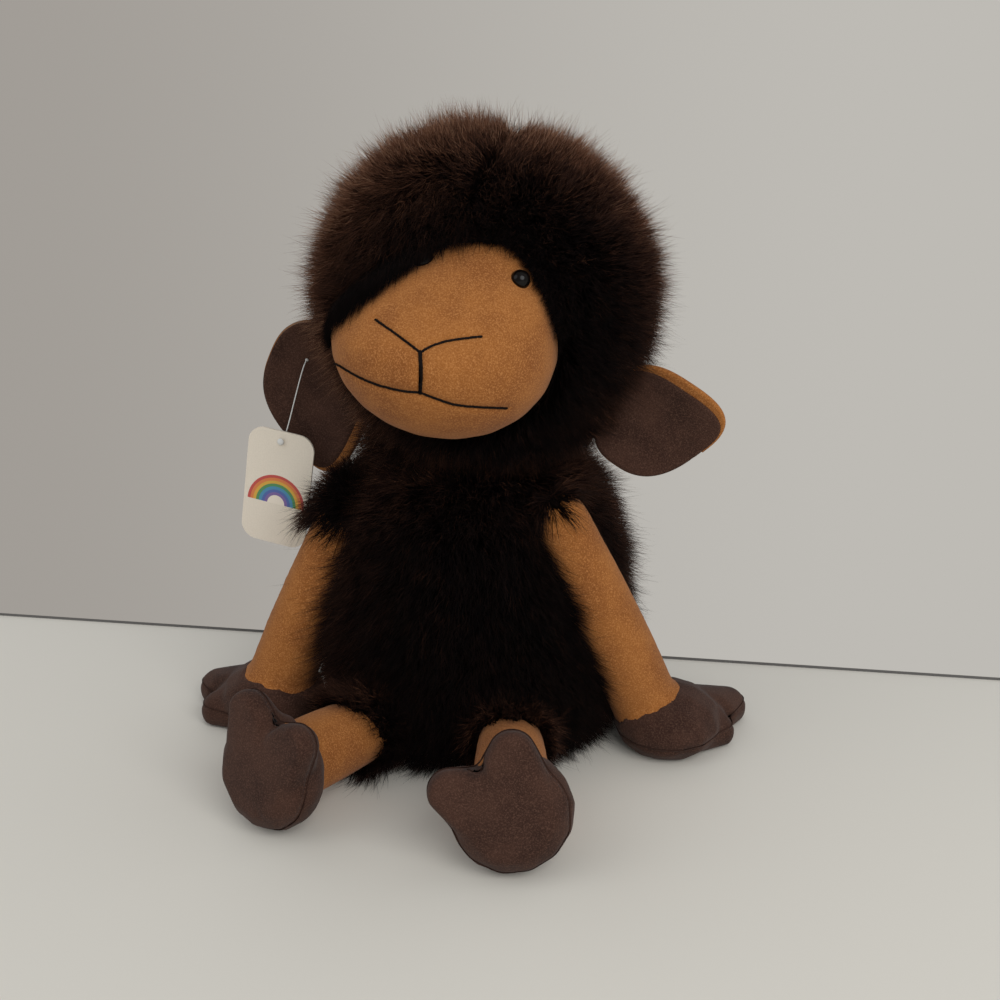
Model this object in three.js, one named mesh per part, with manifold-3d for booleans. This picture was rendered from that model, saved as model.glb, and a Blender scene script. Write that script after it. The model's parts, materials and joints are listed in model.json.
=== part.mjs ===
// A seated plush alpaca. Millimetres, +Z up, it faces -Y and its left is +X.
import * as THREE from "three";
import { mergeVertices } from "three/addons/utils/BufferGeometryUtils.js";
import Module from "manifold-3d";

const wasm = await Module();
wasm.setup();

// Cloth and clearances
const GAP = 0.35; // between neighbouring pieces
const PILE = 10; // fur cloth: backing with the dense part of its pile
const SUEDE = 1.4; // suede of the face, sleeves, hooves and ears
const PLAY = 0.9; // room round a limb where it swings in the fur

// Torso
const SEAT_RADIUS = 46; // flat patch that it sits on
const HIP_RADIUS = 63.5; // just above the seat
const HIP_Z = 10;
const BODY_RADIUS = 69; // widest, with the dense pile
const BODY_WIDEST_Z = 50;
const SHOULDER_RADIUS = 61;
const SHOULDER_Z = 112;
const NECK_X = -8.8; // the neck ball sits over to its right
const NECK_RISE = 23; // neck ball above the shoulders
const NECK_RADIUS = 38;
const NECK_OPEN = 24; // openings of the neck's cover, above and below
const COLLAR_ANGLE = 88; // degrees from the top of the neck ball to the collar
const NECK_Z = SHOULDER_Z + NECK_RISE;

// Head, measured from its own centre
const HEAD_RISE = 76; // head centre above the neck ball's centre
const HEAD_WIDTH = 146;
const HEAD_DEPTH = 138;
const HEAD_HEIGHT = 142;
const HEAD_LEAN = 9; // degrees to its left, as it sits
const HEAD_TURN = { right: 25, left: 2 }; // degrees; to its left the tag meets the arm
const HEAD_NOD = { down: 12, up: 6 }; // degrees

// Face
const MUZZLE_WIDTH = 92;
const MUZZLE_UP = 43;
const MUZZLE_DOWN = 37;
const MUZZLE_Z = -8; // level of the widest part from the head's centre
const MUZZLE_FORWARD = 60; // its middle ahead of the head's centre
const MUZZLE_DEPTH = 42;
const BROW_TAPER = 0.3;
const BRIDGE_SLOPE = 0.6;
const BROW_BACK = 13; // the brow lies behind the nose
const BROW_ASIDE = 10; // and is drawn over to its left
const FACE_ROUND = 4; // degrees that eyes and lines sit to the left on the muzzle
const EYE_DIAMETER = 9.4;
const EYE_HEIGHT = 4.2;
const EYE_SPREAD = 55; // degrees round the muzzle from its middle
const EYE_LEVEL = 47; // degrees up the muzzle
const STEM_DIAMETER = 3;
const STEM_LENGTH = 8;
const WASHER_DIAMETER = 12;
const WASHER_THICK = 1.2;
const THREAD = 2; // width of an embroidered line
const NOSE_UP = 5; // the rest of the face's lines, degrees up and round the muzzle
const NOSTRIL_UP = 16;
const NOSTRIL_ROUND = 36;
const MOUTH_UP = -22;
const MOUTH_CORNER_UP = -25;
const MOUTH_ROUND = 54;

// Ears
const EAR_LENGTH = { left: 46, right: 61 };
const EAR_WIDTH = { left: 50, right: 55 };
const EAR_CUP = 5; // how far its long edges curl forward
const EAR_END = 0.05; // how much of the ear's outline is cut off at its root and at its tip
const EAR_SQUARE = 2.8; // 2 makes its outline round, more makes it square
const EAR_SKEW = { left: 0.3, right: 0.4 }; // how much further one edge reaches than the other
const EAR_ASIDE = { left: -4.4, right: 0 }; // the ear's middle from its root, to that edge
const EAR_LATITUDE = { left: -24, right: -28 }; // degrees from the head's equator
const EAR_DROOP = { left: 22, right: 73 }; // degrees below level on the head
const EAR_FOLD = { left: [16, 28], right: [2, 22] }; // degrees it folds forward and back

// Limbs
const ARM_ROOT_DIAMETER = 25;
const ARM_END_DIAMETER = 31;
const ARM_RISE = 7; // middle of the arm's root above the shoulder level
const ARM_PROUD = 2.5; // and outside the body's outline
const ARM_ROUND = { left: 37, right: 28 }; // degrees from sideways to the front
const ARM_REACH = { left: 45.3, right: 42.4 }; // level distance to the wrist
const ARM_HEADING = { left: -32, right: 14 }; // degrees from sideways to the front
const ARM_SWING = 53; // degrees from sideways to the front, where it lifts to
const ARM_LIFT = 70; // degrees
const LEG_ROOT_DIAMETER = 29;
const LEG_END_DIAMETER = 34;
const LEG_Z = 20; // height of the hip
const LEG_SUNK = 2.9; // middle of the leg's root inside the body's outline
const LEG_ROUND = 62; // degrees from sideways to the front
const LEG_REACH = 66;
const LEG_HEADING = { left: 75, right: 67 }; // degrees from sideways to the front
const LEG_LIFT = 30; // degrees

// Hooves: a round heel with two toes
const HEEL_LENGTH = 52;
const HEEL_WIDTH = 52;
const HEEL_DEPTH = 36; // before the sole is cut flat
const TOE_WIDTH = 20;
const TOE_DEPTH = 21;
const TOE_SUNK = 0.6; // where a toe starts inside the heel, part of the way to its surface
const TOE_TUCK = 0.96; // how wide it starts, so that its rim stays inside
const HAND_TOES = {
  left: [{ turn: 52, reach: 51 }, { turn: 18, reach: 33 }],
  right: [{ turn: 18, reach: 47.5 }, { turn: -20, reach: 36 }],
}; // degrees to the back from the hand's heading, and how far the toe's tip is from the heel's middle
const FOOT_TOES = [{ turn: 33, reach: 36.5 }, { turn: -33, reach: 36.5 }];
const SOLE_CUT = 5; // depth of the flat cut
const WRIST_BACK = { left: 9.5, right: 2 }; // wrist this far inwards from the heel's middle
const FOOT_ROLL = { left: 33, right: 12 }; // degrees, toes towards each other
const FOOT_TILT = 12; // degrees, sole leaning back
const FLOOR_GAP = 0.3; // hooves stand this far above the seat's plane

// Hang tag
const TAG_WIDTH = 34;
const TAG_LENGTH = 59;
const TAG_CORNER = 8;
const TAG_THICK = 1;
const TAG_HOLE = 2.4; // diameter
const TAG_HOLE_IN = 5; // hole's middle below the top edge
const PIN_DROP = 39; // ear hole to tag hole
const PIN_OUT = 9; // tag in front of the ear
const PIN_ASIDE = 12; // tag to the right of the ear hole
const PIN_DIAMETER = 1.4; // bar, and the studs through ear and tag
const FILAMENT = 1; // diameter of the strand between them
const PIN_BAR = 9; // cross bar behind the ear
const KNOB_OVER = 0.6; // knob's rim over the tag's hole
const KNOB_THICK = 2;
const PIN_ON_EAR = { along: 0.34, across: -0.4 }; // place of the hole on the ear
const PIN_SWING = { out: 40, in: 3 }; // degrees
const TAG_TWIST = 18; // degrees either way
const TAG_ROLL = 9; // degrees, its foot away from the body

const SIDES = { left: 1, right: -1 };
const FAR = 600; // larger than the toy
const rad = THREE.MathUtils.degToRad;
const vec = (x, y, z) => new THREE.Vector3(x, y, z);

const COLOURS = {
  fur: 0x1c110d,
  tan: 0x9a6438,
  hoof: 0x40302b,
  eye: 0x0a0808,
  thread: 0x120f0f,
  filling: 0xe6e2da,
  nylon: 0xe8e8e4,
  card: 0xe4dccb,
};

// Solids: three.js geometry in, joined or cut, and back
function solid(geometry) {
  const bare = new THREE.BufferGeometry();
  bare.setAttribute("position", geometry.getAttribute("position").clone());
  if (geometry.index) bare.setIndex(geometry.index.clone());
  const merged = mergeVertices(bare, 1e-4);
  const corners = merged.index.array;
  const faces = [];
  for (let i = 0; i < corners.length; i += 3) {
    const [a, b, c] = corners.subarray(i, i + 3);
    if (a !== b && b !== c && c !== a) faces.push(a, b, c);
  }
  return new wasm.Manifold(
    new wasm.Mesh({
      numProp: 3,
      vertProperties: merged.getAttribute("position").array,
      triVerts: new Uint32Array(faces),
    }),
  );
}

function geometryOf(made) {
  const mesh = made.getMesh();
  const geometry = new THREE.BufferGeometry();
  geometry.setAttribute("position", new THREE.BufferAttribute(mesh.vertProperties, 3));
  geometry.setIndex(new THREE.BufferAttribute(mesh.triVerts, 1));
  geometry.computeVertexNormals();
  return geometry;
}

function node(name, made, colour, roughness = 0.95) {
  const material = new THREE.MeshStandardMaterial({ color: colour, roughness, metalness: 0 });
  const mesh = new THREE.Mesh(geometryOf(made), material);
  mesh.name = name;
  return mesh;
}

const moved = (geometry, matrix) => geometry.clone().applyMatrix4(matrix);

// Bodies of revolution about +Z; outline runs from the axis below to the axis above
function turned(outline, segments) {
  return new THREE.LatheGeometry(outline, segments).rotateX(Math.PI / 2);
}

function ellipsoid(x, y, z, segments = 20, rings = 14) {
  return new THREE.SphereGeometry(1, segments, rings).scale(x, y, z);
}

// Room for a ball of this radius whatever way its facets and the ball's face
function socket(radius) {
  const [segments, rings] = [18, 12];
  const reach = radius / (Math.cos(Math.PI / segments) * Math.cos(Math.PI / 2 / rings));
  return ellipsoid(reach, reach, reach, segments, rings);
}

function rod(radius, from, to, segments = 12) {
  const geometry = new THREE.CylinderGeometry(radius, radius, to - from, segments);
  return geometry.rotateX(Math.PI / 2).translate(0, 0, (from + to) / 2);
}

// Everything on one side of the centre seam
function sideOf(sign) {
  const block = new THREE.BoxGeometry(FAR, 2 * FAR, 2 * FAR);
  return solid(block.translate(sign * (FAR / 2 + GAP / 2), 0, 0));
}

// A bent sheet with a front and a back, closed round its edges
function slab(along, across, at) {
  const points = [];
  const faces = [];
  const index = (layer, i, j) => (layer * (along + 1) + i) * (across + 1) + j;
  const quad = (a, b, c, d) => faces.push(a, b, c, a, c, d);
  for (let layer = 0; layer < 2; layer++)
    for (let i = 0; i <= along; i++)
      for (let j = 0; j <= across; j++)
        points.push(...at(i / along, (2 * j) / across - 1, layer).toArray());
  for (let i = 0; i < along; i++)
    for (let j = 0; j < across; j++) {
      quad(index(0, i, j), index(0, i, j + 1), index(0, i + 1, j + 1), index(0, i + 1, j));
      quad(index(1, i, j), index(1, i + 1, j), index(1, i + 1, j + 1), index(1, i, j + 1));
    }
  for (let i = 0; i < along; i++) {
    quad(index(0, i, 0), index(0, i + 1, 0), index(1, i + 1, 0), index(1, i, 0));
    quad(index(0, i + 1, across), index(0, i, across), index(1, i, across), index(1, i + 1, across));
  }
  for (let j = 0; j < across; j++) {
    quad(index(0, 0, j + 1), index(0, 0, j), index(1, 0, j), index(1, 0, j + 1));
    quad(index(0, along, j), index(0, along, j + 1), index(1, along, j + 1), index(1, along, j));
  }
  const geometry = new THREE.BufferGeometry();
  geometry.setAttribute("position", new THREE.Float32BufferAttribute(points, 3));
  geometry.setIndex(faces);
  return geometry;
}

// Torso: a pear with an open collar for the neck ball
function pearOutline() {
  const collar = rad(COLLAR_ANGLE);
  const side = new THREE.SplineCurve([
    new THREE.Vector2(SEAT_RADIUS, 0),
    new THREE.Vector2(HIP_RADIUS, HIP_Z),
    new THREE.Vector2(BODY_RADIUS, BODY_WIDEST_Z),
    new THREE.Vector2(SHOULDER_RADIUS, SHOULDER_Z),
    new THREE.Vector2(
      NECK_RADIUS * Math.sin(collar),
      NECK_Z + NECK_RADIUS * Math.cos(collar),
    ),
  ]);
  return side.getPoints(9);
}

function pear(inset) {
  const outline = pearOutline();
  const last = outline.length - 1;
  const inner = outline.map((point, i) => {
    const before = outline[Math.max(i - 1, 0)];
    const after = outline[Math.min(i + 1, last)];
    const along = after.clone().sub(before).normalize();
    return new THREE.Vector2(point.x - along.y * inset, point.y + along.x * inset);
  });
  inner[0].y = inset;
  const top = inner[last].y;
  return turned([new THREE.Vector2(0, inset), ...inner, new THREE.Vector2(0, top)], 20);
}

// Head ball and muzzle, about the head's own centre
function headBall(inset) {
  const half = [HEAD_WIDTH, HEAD_DEPTH, HEAD_HEIGHT].map((size) => size / 2 - inset);
  return ellipsoid(...half, 20, 12);
}

function muzzlePoint(way, inset = 0) {
  const lift = Math.max(way.z, 0);
  const front = Math.max(-way.y, 0);
  const wide = (MUZZLE_WIDTH / 2 - inset) * (1 - BROW_TAPER * lift);
  const tall = (way.z > 0 ? MUZZLE_UP : MUZZLE_DOWN) - inset;
  const deep = front * (MUZZLE_DEPTH - inset) * (1 - BRIDGE_SLOPE * lift);
  const back = Math.max(way.y, 0) * MUZZLE_FORWARD;
  const y = BROW_BACK * lift * lift - MUZZLE_FORWARD - deep + back;
  return vec(way.x * wide + BROW_ASIDE * lift, y, MUZZLE_Z + way.z * tall);
}

function muzzle(inset) {
  const geometry = new THREE.SphereGeometry(1, 20, 14);
  const place = geometry.getAttribute("position");
  const point = vec(0, 0, 0);
  for (let i = 0; i < place.count; i++) {
    point.fromBufferAttribute(place, i).normalize();
    place.setXYZ(i, ...muzzlePoint(point, inset).toArray());
  }
  return geometry;
}

// A direction on the muzzle: degrees round from its middle and degrees up
function muzzleWay(round, up) {
  const level = Math.cos(rad(up));
  return vec(level * Math.sin(rad(round)), -level * Math.cos(rad(round)), Math.sin(rad(up)));
}

function muzzleNormal(round, up) {
  const step = 1;
  const across = muzzlePoint(muzzleWay(round + step, up));
  across.sub(muzzlePoint(muzzleWay(round - step, up)));
  const rise = muzzlePoint(muzzleWay(round, up + step));
  rise.sub(muzzlePoint(muzzleWay(round, up - step)));
  return across.cross(rise).normalize();
}

// How far the muzzle falls below its tangent plane at a distance from a place on it
function muzzleFall(round, up, distance) {
  const step = 1;
  const place = muzzlePoint(muzzleWay(round, up));
  const normal = muzzleNormal(round, up);
  const falls = [[step, 0], [-step, 0], [0, step], [0, -step]].map(([a, b]) => {
    const pace = muzzlePoint(muzzleWay(round + a, up + b)).distanceTo(place);
    const [x, y] = [(a * distance) / pace, (b * distance) / pace];
    return place.clone().sub(muzzlePoint(muzzleWay(round + x, up + y))).dot(normal);
  });
  return Math.max(...falls);
}

// An embroidered line through places on the muzzle
function stitched(places) {
  const stand = GAP + THREAD / 2;
  const path = new THREE.CatmullRomCurve3(
    places.map(([aside, up]) => {
      const round = aside + FACE_ROUND;
      return muzzlePoint(muzzleWay(round, up)).addScaledVector(muzzleNormal(round, up), stand);
    }),
  );
  const section = new THREE.Shape();
  for (let i = 0; i < 6; i++) {
    const turn = (i * Math.PI) / 3;
    const [x, y] = [(Math.cos(turn) * THREAD) / 2, (Math.sin(turn) * THREAD) / 2];
    if (i) section.lineTo(x, y);
    else section.moveTo(x, y);
  }
  const steps = 3 * (places.length - 1);
  const options = { steps, extrudePath: path, bevelEnabled: false };
  return solid(new THREE.ExtrudeGeometry(section, options));
}

function buildEye(side, head) {
  const [round, up] = [SIDES[side] * EYE_SPREAD + FACE_ROUND, EYE_LEVEL];
  const group = new THREE.Group();
  const normal = muzzleNormal(round, up);
  group.position.copy(muzzlePoint(muzzleWay(round, up)));
  group.quaternion.setFromUnitVectors(vec(0, 0, 1), normal);
  group.updateMatrix();
  const seat = 2 * GAP;
  const arc = [];
  for (let i = 0; i <= 5; i++) {
    const turn = (i * Math.PI) / 10;
    const out = (Math.cos(turn) * EYE_DIAMETER) / 2;
    arc.push(new THREE.Vector2(out, seat + Math.sin(turn) * EYE_HEIGHT));
  }
  arc[5].x = 0;
  const dome = turned([new THREE.Vector2(0, seat), ...arc], 16);
  const stem = rod(STEM_DIAMETER / 2, -STEM_LENGTH, seat + EYE_HEIGHT / 2, 10);
  group.add(node(`eye_${side}`, solid(dome).add(solid(stem)), COLOURS.eye, 0.08));

  const behind = -SUEDE - 2 * GAP - muzzleFall(round, up, WASHER_DIAMETER / 2);
  const ring = solid(rod(WASHER_DIAMETER / 2, behind - WASHER_THICK, behind, 16));
  const bore = solid(rod(STEM_DIAMETER / 2 + GAP, -FAR, FAR, 10));
  group.add(node(`eye_washer_${side}`, ring.subtract(bore), COLOURS.nylon, 0.4));

  const placed = (geometry) => solid(moved(geometry, group.matrix));
  const hole = placed(rod(STEM_DIAMETER / 2 + GAP, -2 * SUEDE, 2 * SUEDE, 10));
  const well = placed(rod(STEM_DIAMETER / 2 + GAP, -STEM_LENGTH - GAP, 0, 10));
  const tray = placed(rod(WASHER_DIAMETER / 2 + GAP, behind - WASHER_THICK - GAP, SUEDE, 16));
  const clear = placed(rod(EYE_DIAMETER / 2 + 4 * GAP, -SUEDE, FAR, 16));
  head.add(group);
  return { hole, pocket: well.add(tray), clear };
}

function buildHead() {
  const head = new THREE.Group();
  head.position.z = HEAD_RISE;
  const neck = solid(socket(NECK_RADIUS + GAP).translate(0, 0, -HEAD_RISE));
  const cloth = PILE + GAP;
  const eyes = Object.keys(SIDES).map((side) => buildEye(side, head));

  const opening = solid(muzzle(-GAP));
  let cover = solid(headBall(0)).subtract(solid(headBall(PILE))).subtract(opening).subtract(neck);
  for (const { clear } of eyes) cover = cover.subtract(clear);
  for (const [side, sign] of Object.entries(SIDES))
    head.add(node(`head_fur_${side}`, cover.intersect(sideOf(sign)), COLOURS.fur));

  const ball = solid(headBall(cloth));
  let panel = solid(muzzle(0)).subtract(solid(muzzle(SUEDE))).subtract(solid(headBall(PILE)));
  let filling = ball.add(solid(muzzle(SUEDE + GAP))).subtract(neck);
  for (const { hole, pocket } of eyes) {
    panel = panel.subtract(hole);
    filling = filling.subtract(pocket);
  }
  head.add(node("face_panel", panel, COLOURS.tan));
  head.add(node("head_filling", filling, COLOURS.filling));

  const lip = [-1, -0.55, -0.2, 0, 0.2, 0.55, 1].map((share) => [
    share * MOUTH_ROUND,
    MOUTH_UP + share * share * (MOUTH_CORNER_UP - MOUTH_UP),
  ]);
  const nostril = (sign) => [0, 0.4, 1].map((share) => [
    sign * share * NOSTRIL_ROUND,
    NOSE_UP + share * (NOSTRIL_UP - NOSE_UP),
  ]);
  const philtrum = [NOSE_UP, 0, MOUTH_UP / 3, (2 * MOUTH_UP) / 3, MOUTH_UP].map((up) => [0, up]);
  const lines = [philtrum, lip, nostril(1), nostril(-1)].map(stitched);
  const thread = lines.reduce((all, line) => all.add(line));
  head.add(node("face_stitching", thread, COLOURS.thread, 0.6));
  return head;
}

// Ears: x along the ear, y across it, z to the face of the dark panel
function earShape(side, along, across, depth) {
  const end = (1 - 2 * EAR_END) * Math.abs(2 * along - 1);
  const swell = (1 - end ** EAR_SQUARE) ** (1 / EAR_SQUARE);
  const y = (across * EAR_WIDTH[side] * swell) / 2;
  const bend = EAR_CUP * (across * swell) ** 2;
  const x = along * (EAR_LENGTH[side] + EAR_SKEW[side] * y);
  return vec(x, y + EAR_ASIDE[side], bend + depth);
}

function buildEar(side) {
  const sign = SIDES[side];
  const ear = new THREE.Group();
  const latitude = rad(EAR_LATITUDE[side]);
  const droop = rad(EAR_DROOP[side]);
  const [out, up] = [Math.cos(latitude) * HEAD_WIDTH, Math.sin(latitude) * HEAD_HEIGHT];
  ear.position.set((sign * out) / 2, 0, HEAD_RISE + up / 2);
  const along = vec(sign * Math.cos(droop), 0, -Math.sin(droop));
  const front = vec(0, -1, 0);
  ear.quaternion.setFromRotationMatrix(
    new THREE.Matrix4().makeBasis(along, front.clone().cross(along), front),
  );
  ear.updateMatrix();
  const seen = moved(headBall(-PLAY).translate(0, 0, HEAD_RISE), ear.matrix.clone().invert());
  const ball = solid(seen);
  const pin = earShape(side, PIN_ON_EAR.along, PIN_ON_EAR.across, 0);
  const bore = solid(rod(PIN_DIAMETER / 2 + GAP, -FAR, FAR, 8).translate(pin.x, pin.y, pin.z));
  const panels = { outer: [GAP / 2, GAP / 2 + SUEDE], inner: [-GAP / 2 - SUEDE, -GAP / 2] };
  for (const [name, depths] of Object.entries(panels)) {
    let made = solid(slab(6, 6, (i, j, layer) => earShape(side, i, j, depths[layer])));
    made = made.subtract(ball);
    if (side === "right") made = made.subtract(bore);
    const colour = name === "outer" ? COLOURS.hoof : COLOURS.tan;
    ear.add(node(`ear_${name}_${side}`, made, colour));
  }
  return { ear, pin };
}

// Hoof: x to the toes, y across, z up from the sole; frame places it
function hoofHeel(inset, frame) {
  const [x, y, z] = [HEEL_LENGTH, HEEL_WIDTH, HEEL_DEPTH].map((size) => size / 2 - inset);
  const heel = ellipsoid(x, y, z, 12, 7).translate(0, 0, HEEL_DEPTH / 2 - SOLE_CUT);
  return solid(moved(heel, frame));
}

// Toe: from inside the heel it narrows to a round tip, its underside level with the heel's
function hoofToe(grow, reach) {
  const [heel, tip] = [HEEL_WIDTH, TOE_WIDTH].map((size) => size / 2 + grow);
  const [deep, shallow] = [HEEL_DEPTH, TOE_DEPTH].map((size) => size / 2 + grow);
  const middle = reach - TOE_WIDTH / 2;
  const lean = Math.asin((heel - tip) / middle);
  const start = heel * TOE_SUNK;
  const outline = [
    new THREE.Vector2(0, start * Math.sin(lean)),
    new THREE.Vector2(TOE_TUCK * heel * Math.cos(lean), start * Math.sin(lean)),
  ];
  for (let i = 0; i <= 3; i++) {
    const turn = lean + ((Math.PI / 2 - lean) * i) / 3;
    outline.push(new THREE.Vector2(tip * Math.cos(turn), middle + tip * Math.sin(turn)));
  }
  outline.at(-1).x = 0;
  const toe = turned(outline, 12).rotateY(Math.PI / 2);
  const place = toe.getAttribute("position");
  for (let i = 0; i < place.count; i++) {
    const share = THREE.MathUtils.clamp(place.getX(i) / middle, 0, 1);
    const depth = THREE.MathUtils.lerp(deep, shallow, share);
    const width = THREE.MathUtils.lerp(heel, tip, share);
    place.setZ(i, (place.getZ(i) / width) * depth + depth - grow - SOLE_CUT);
  }
  return toe;
}

function hoofBlock(grow, frame, toes) {
  let block = hoofHeel(-grow, frame);
  for (const { turn, reach } of toes) {
    const toe = hoofToe(grow, reach).rotateZ(rad(turn));
    block = block.add(solid(moved(toe, frame)));
  }
  return block.intersect(above(-grow, frame));
}

// Everything above a level of the hoof
function above(level, frame) {
  const block = new THREE.BoxGeometry(FAR, FAR, FAR).translate(0, 0, FAR / 2 + level);
  return solid(moved(block, frame));
}

// A limb's sleeve about +Z: a round root at 0, swelling to its end
function sleeve(root, end, length, inset) {
  const outline = [new THREE.Vector2(0, inset - root)];
  for (let i = -2; i < 0; i++) {
    const turn = (i * Math.PI) / 6;
    outline.push(new THREE.Vector2(root - inset, 0).rotateAround(new THREE.Vector2(), turn));
  }
  for (let i = 0; i <= 3; i++) {
    const swell = root + (end - root) * Math.sin((i * Math.PI) / 6);
    outline.push(new THREE.Vector2(swell - inset, (i * length) / 3));
  }
  outline.push(new THREE.Vector2(0, length));
  return turned(outline, 10);
}

// A limb hangs along +Z from its root; the hoof's own frame is given in the limb's
function buildLimb(part, root, end, length, hoofFrame, toes) {
  const limb = new THREE.Group();
  const block = hoofBlock(0, hoofFrame, toes);
  const grown = hoofBlock(GAP, hoofFrame, toes);
  const hollow = hoofHeel(SUEDE, hoofFrame);
  const stuffing = hoofHeel(SUEDE + GAP, hoofFrame);
  const sole = block.subtract(above(SUEDE, hoofFrame));
  const upper = above(SUEDE + GAP, hoofFrame);
  const inside = above(SUEDE + 2 * GAP, hoofFrame);

  const skin = solid(sleeve(root, end, length, 0));
  const bore = solid(sleeve(root, end, length + SUEDE, SUEDE));
  const core = solid(sleeve(root, end, length, SUEDE + GAP));
  const shell = block.subtract(hollow).subtract(bore).intersect(upper);
  limb.add(node(`${part}_sleeve`, skin.subtract(bore).subtract(grown), COLOURS.tan));
  limb.add(node(`${part}_hoof_upper`, shell, COLOURS.hoof));
  limb.add(node(`${part}_hoof_sole`, sole, COLOURS.hoof));
  limb.add(node(`${part}_filling`, core.add(stuffing).intersect(inside), COLOURS.filling));
  return limb;
}

const toy = new THREE.Group();
const JOINTS = {};

function joint(name, point, axis, low, high) {
  JOINTS[name] = { point: point.clone(), axis: axis.clone().normalize(), low, high };
}

// Radius of the pear at a height, by its own outline
function pearRadius(z) {
  const outline = pearOutline();
  const above = outline.findIndex((point) => point.y > z);
  const [a, b] = [outline[above - 1], outline[above]];
  return THREE.MathUtils.mapLinear(z, a.y, b.y, a.x, b.x);
}

// Limb from its root towards an end, with the hoof's frame in the toy
function limbFrame(root, end) {
  const group = new THREE.Group();
  group.position.copy(root);
  group.quaternion.setFromUnitVectors(vec(0, 0, 1), end.clone().sub(root).normalize());
  group.updateMatrix();
  return group;
}

function levelWay(sign, degrees) {
  return vec(sign * Math.cos(rad(degrees)), -Math.sin(rad(degrees)), 0);
}

// The slot in the fur that a limb swings in from 0 to its lift
function swingRoom(root, end, rootRadius, endRadius, axis, lift) {
  const length = end.distanceTo(root);
  const [near, far] = [rootRadius + PLAY, endRadius + PLAY];
  const [reach, lean] = [Math.hypot(length, far), Math.atan2(far, length)];
  const fan = new THREE.Shape();
  fan.absarc(0, 0, reach, -lean, rad(lift) + lean);
  fan.absarc(0, 0, near, rad(lift) + Math.PI / 2, 1.5 * Math.PI);
  const depth = 2 * Math.max(near, far);
  const options = { depth, curveSegments: 6, bevelEnabled: false };
  const room = new THREE.ExtrudeGeometry(fan, options).translate(0, 0, -depth / 2);
  const along = end.clone().sub(root).normalize();
  const frame = new THREE.Matrix4().makeBasis(along, axis.clone().cross(along), axis);
  return solid(moved(room, frame.setPosition(root)));
}

function buildArm(side) {
  const sign = SIDES[side];
  const [root, end] = [ARM_ROOT_DIAMETER / 2, ARM_END_DIAMETER / 2];
  const height = SHOULDER_Z + ARM_RISE;
  const place = levelWay(sign, ARM_ROUND[side]).multiplyScalar(pearRadius(height) + ARM_PROUD);
  place.z = height;
  const heading = vec(sign, 0, 0);
  const wrist = levelWay(sign, ARM_HEADING[side]).multiplyScalar(ARM_REACH[side]).add(place);
  wrist.z = FLOOR_GAP + 0.5 * HEEL_DEPTH;
  const frame = limbFrame(place, wrist);
  const across = vec(0, 0, 1).cross(heading);
  const hoof = new THREE.Matrix4().makeBasis(heading, across, vec(0, 0, 1));
  hoof.setPosition(wrist.clone().addScaledVector(heading, WRIST_BACK[side]).setZ(FLOOR_GAP));
  const local = frame.matrix.clone().invert().multiply(hoof);
  const toes = HAND_TOES[side].map(({ turn, reach }) => ({ turn: sign * turn, reach }));
  const limb = buildLimb(`arm_${side}`, root, end, wrist.distanceTo(place), local, toes);
  limb.position.copy(frame.position);
  limb.quaternion.copy(frame.quaternion);
  toy.add(limb);
  const axis = wrist.clone().sub(place).cross(levelWay(sign, ARM_SWING)).normalize();
  joint(`arm_lift_${side}`, place, axis, 0, ARM_LIFT);
  return swingRoom(place, wrist, root, end, axis, ARM_LIFT);
}

function buildLeg(side) {
  const sign = SIDES[side];
  const [root, end] = [LEG_ROOT_DIAMETER / 2, LEG_END_DIAMETER / 2];
  const heading = levelWay(sign, LEG_HEADING[side]);
  const place = levelWay(sign, LEG_ROUND).multiplyScalar(pearRadius(LEG_Z) - LEG_SUNK);
  place.z = LEG_Z;
  const back = heading.clone().negate();
  const tilted = back.clone().applyAxisAngle(vec(0, 0, 1).cross(heading), rad(-FOOT_TILT));
  const across = vec(0, 0, 1).cross(back).normalize();
  const toes = tilted.clone().cross(across).normalize();
  toes.applyAxisAngle(tilted, rad(-sign * FOOT_ROLL[side]));
  const hoof = new THREE.Matrix4().makeBasis(toes, tilted.clone().cross(toes), tilted);
  const ankle = heading.clone().multiplyScalar(LEG_REACH).add(place);
  hoof.setPosition(ankle.clone().addScaledVector(tilted, -0.5 * HEEL_DEPTH));
  const foot = geometryOf(hoofBlock(0, hoof, FOOT_TOES));
  foot.computeBoundingBox();
  ankle.z += FLOOR_GAP - foot.boundingBox.min.z;
  hoof.setPosition(ankle.clone().addScaledVector(tilted, -0.5 * HEEL_DEPTH));
  const frame = limbFrame(place, ankle);
  const local = frame.matrix.clone().invert().multiply(hoof);
  const limb = buildLimb(`leg_${side}`, root, end, ankle.distanceTo(place), local, FOOT_TOES);
  limb.position.copy(frame.position);
  limb.quaternion.copy(frame.quaternion);
  toy.add(limb);
  const axis = heading.clone().cross(vec(0, 0, 1));
  joint(`leg_lift_${side}`, place, axis, 0, LEG_LIFT);
  return swingRoom(place, ankle, root, end, axis, LEG_LIFT);
}

const sweeps = Object.keys(SIDES).flatMap((side) => [buildArm(side), buildLeg(side)]);
const room = sweeps.reduce((all, one) => all.add(one));

// Torso covers and filling, cleared for the limbs and the neck ball
const collar = socket(NECK_RADIUS + GAP).translate(NECK_X, 0, NECK_Z);
const clear = room.add(solid(collar));
const bodyCover = solid(pear(0)).subtract(solid(pear(PILE))).subtract(clear);
for (const [side, sign] of Object.entries(SIDES))
  toy.add(node(`body_fur_${side}`, bodyCover.intersect(sideOf(sign)), COLOURS.fur));
toy.add(node("body_filling", solid(pear(PILE + GAP)).subtract(clear), COLOURS.filling));

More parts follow.
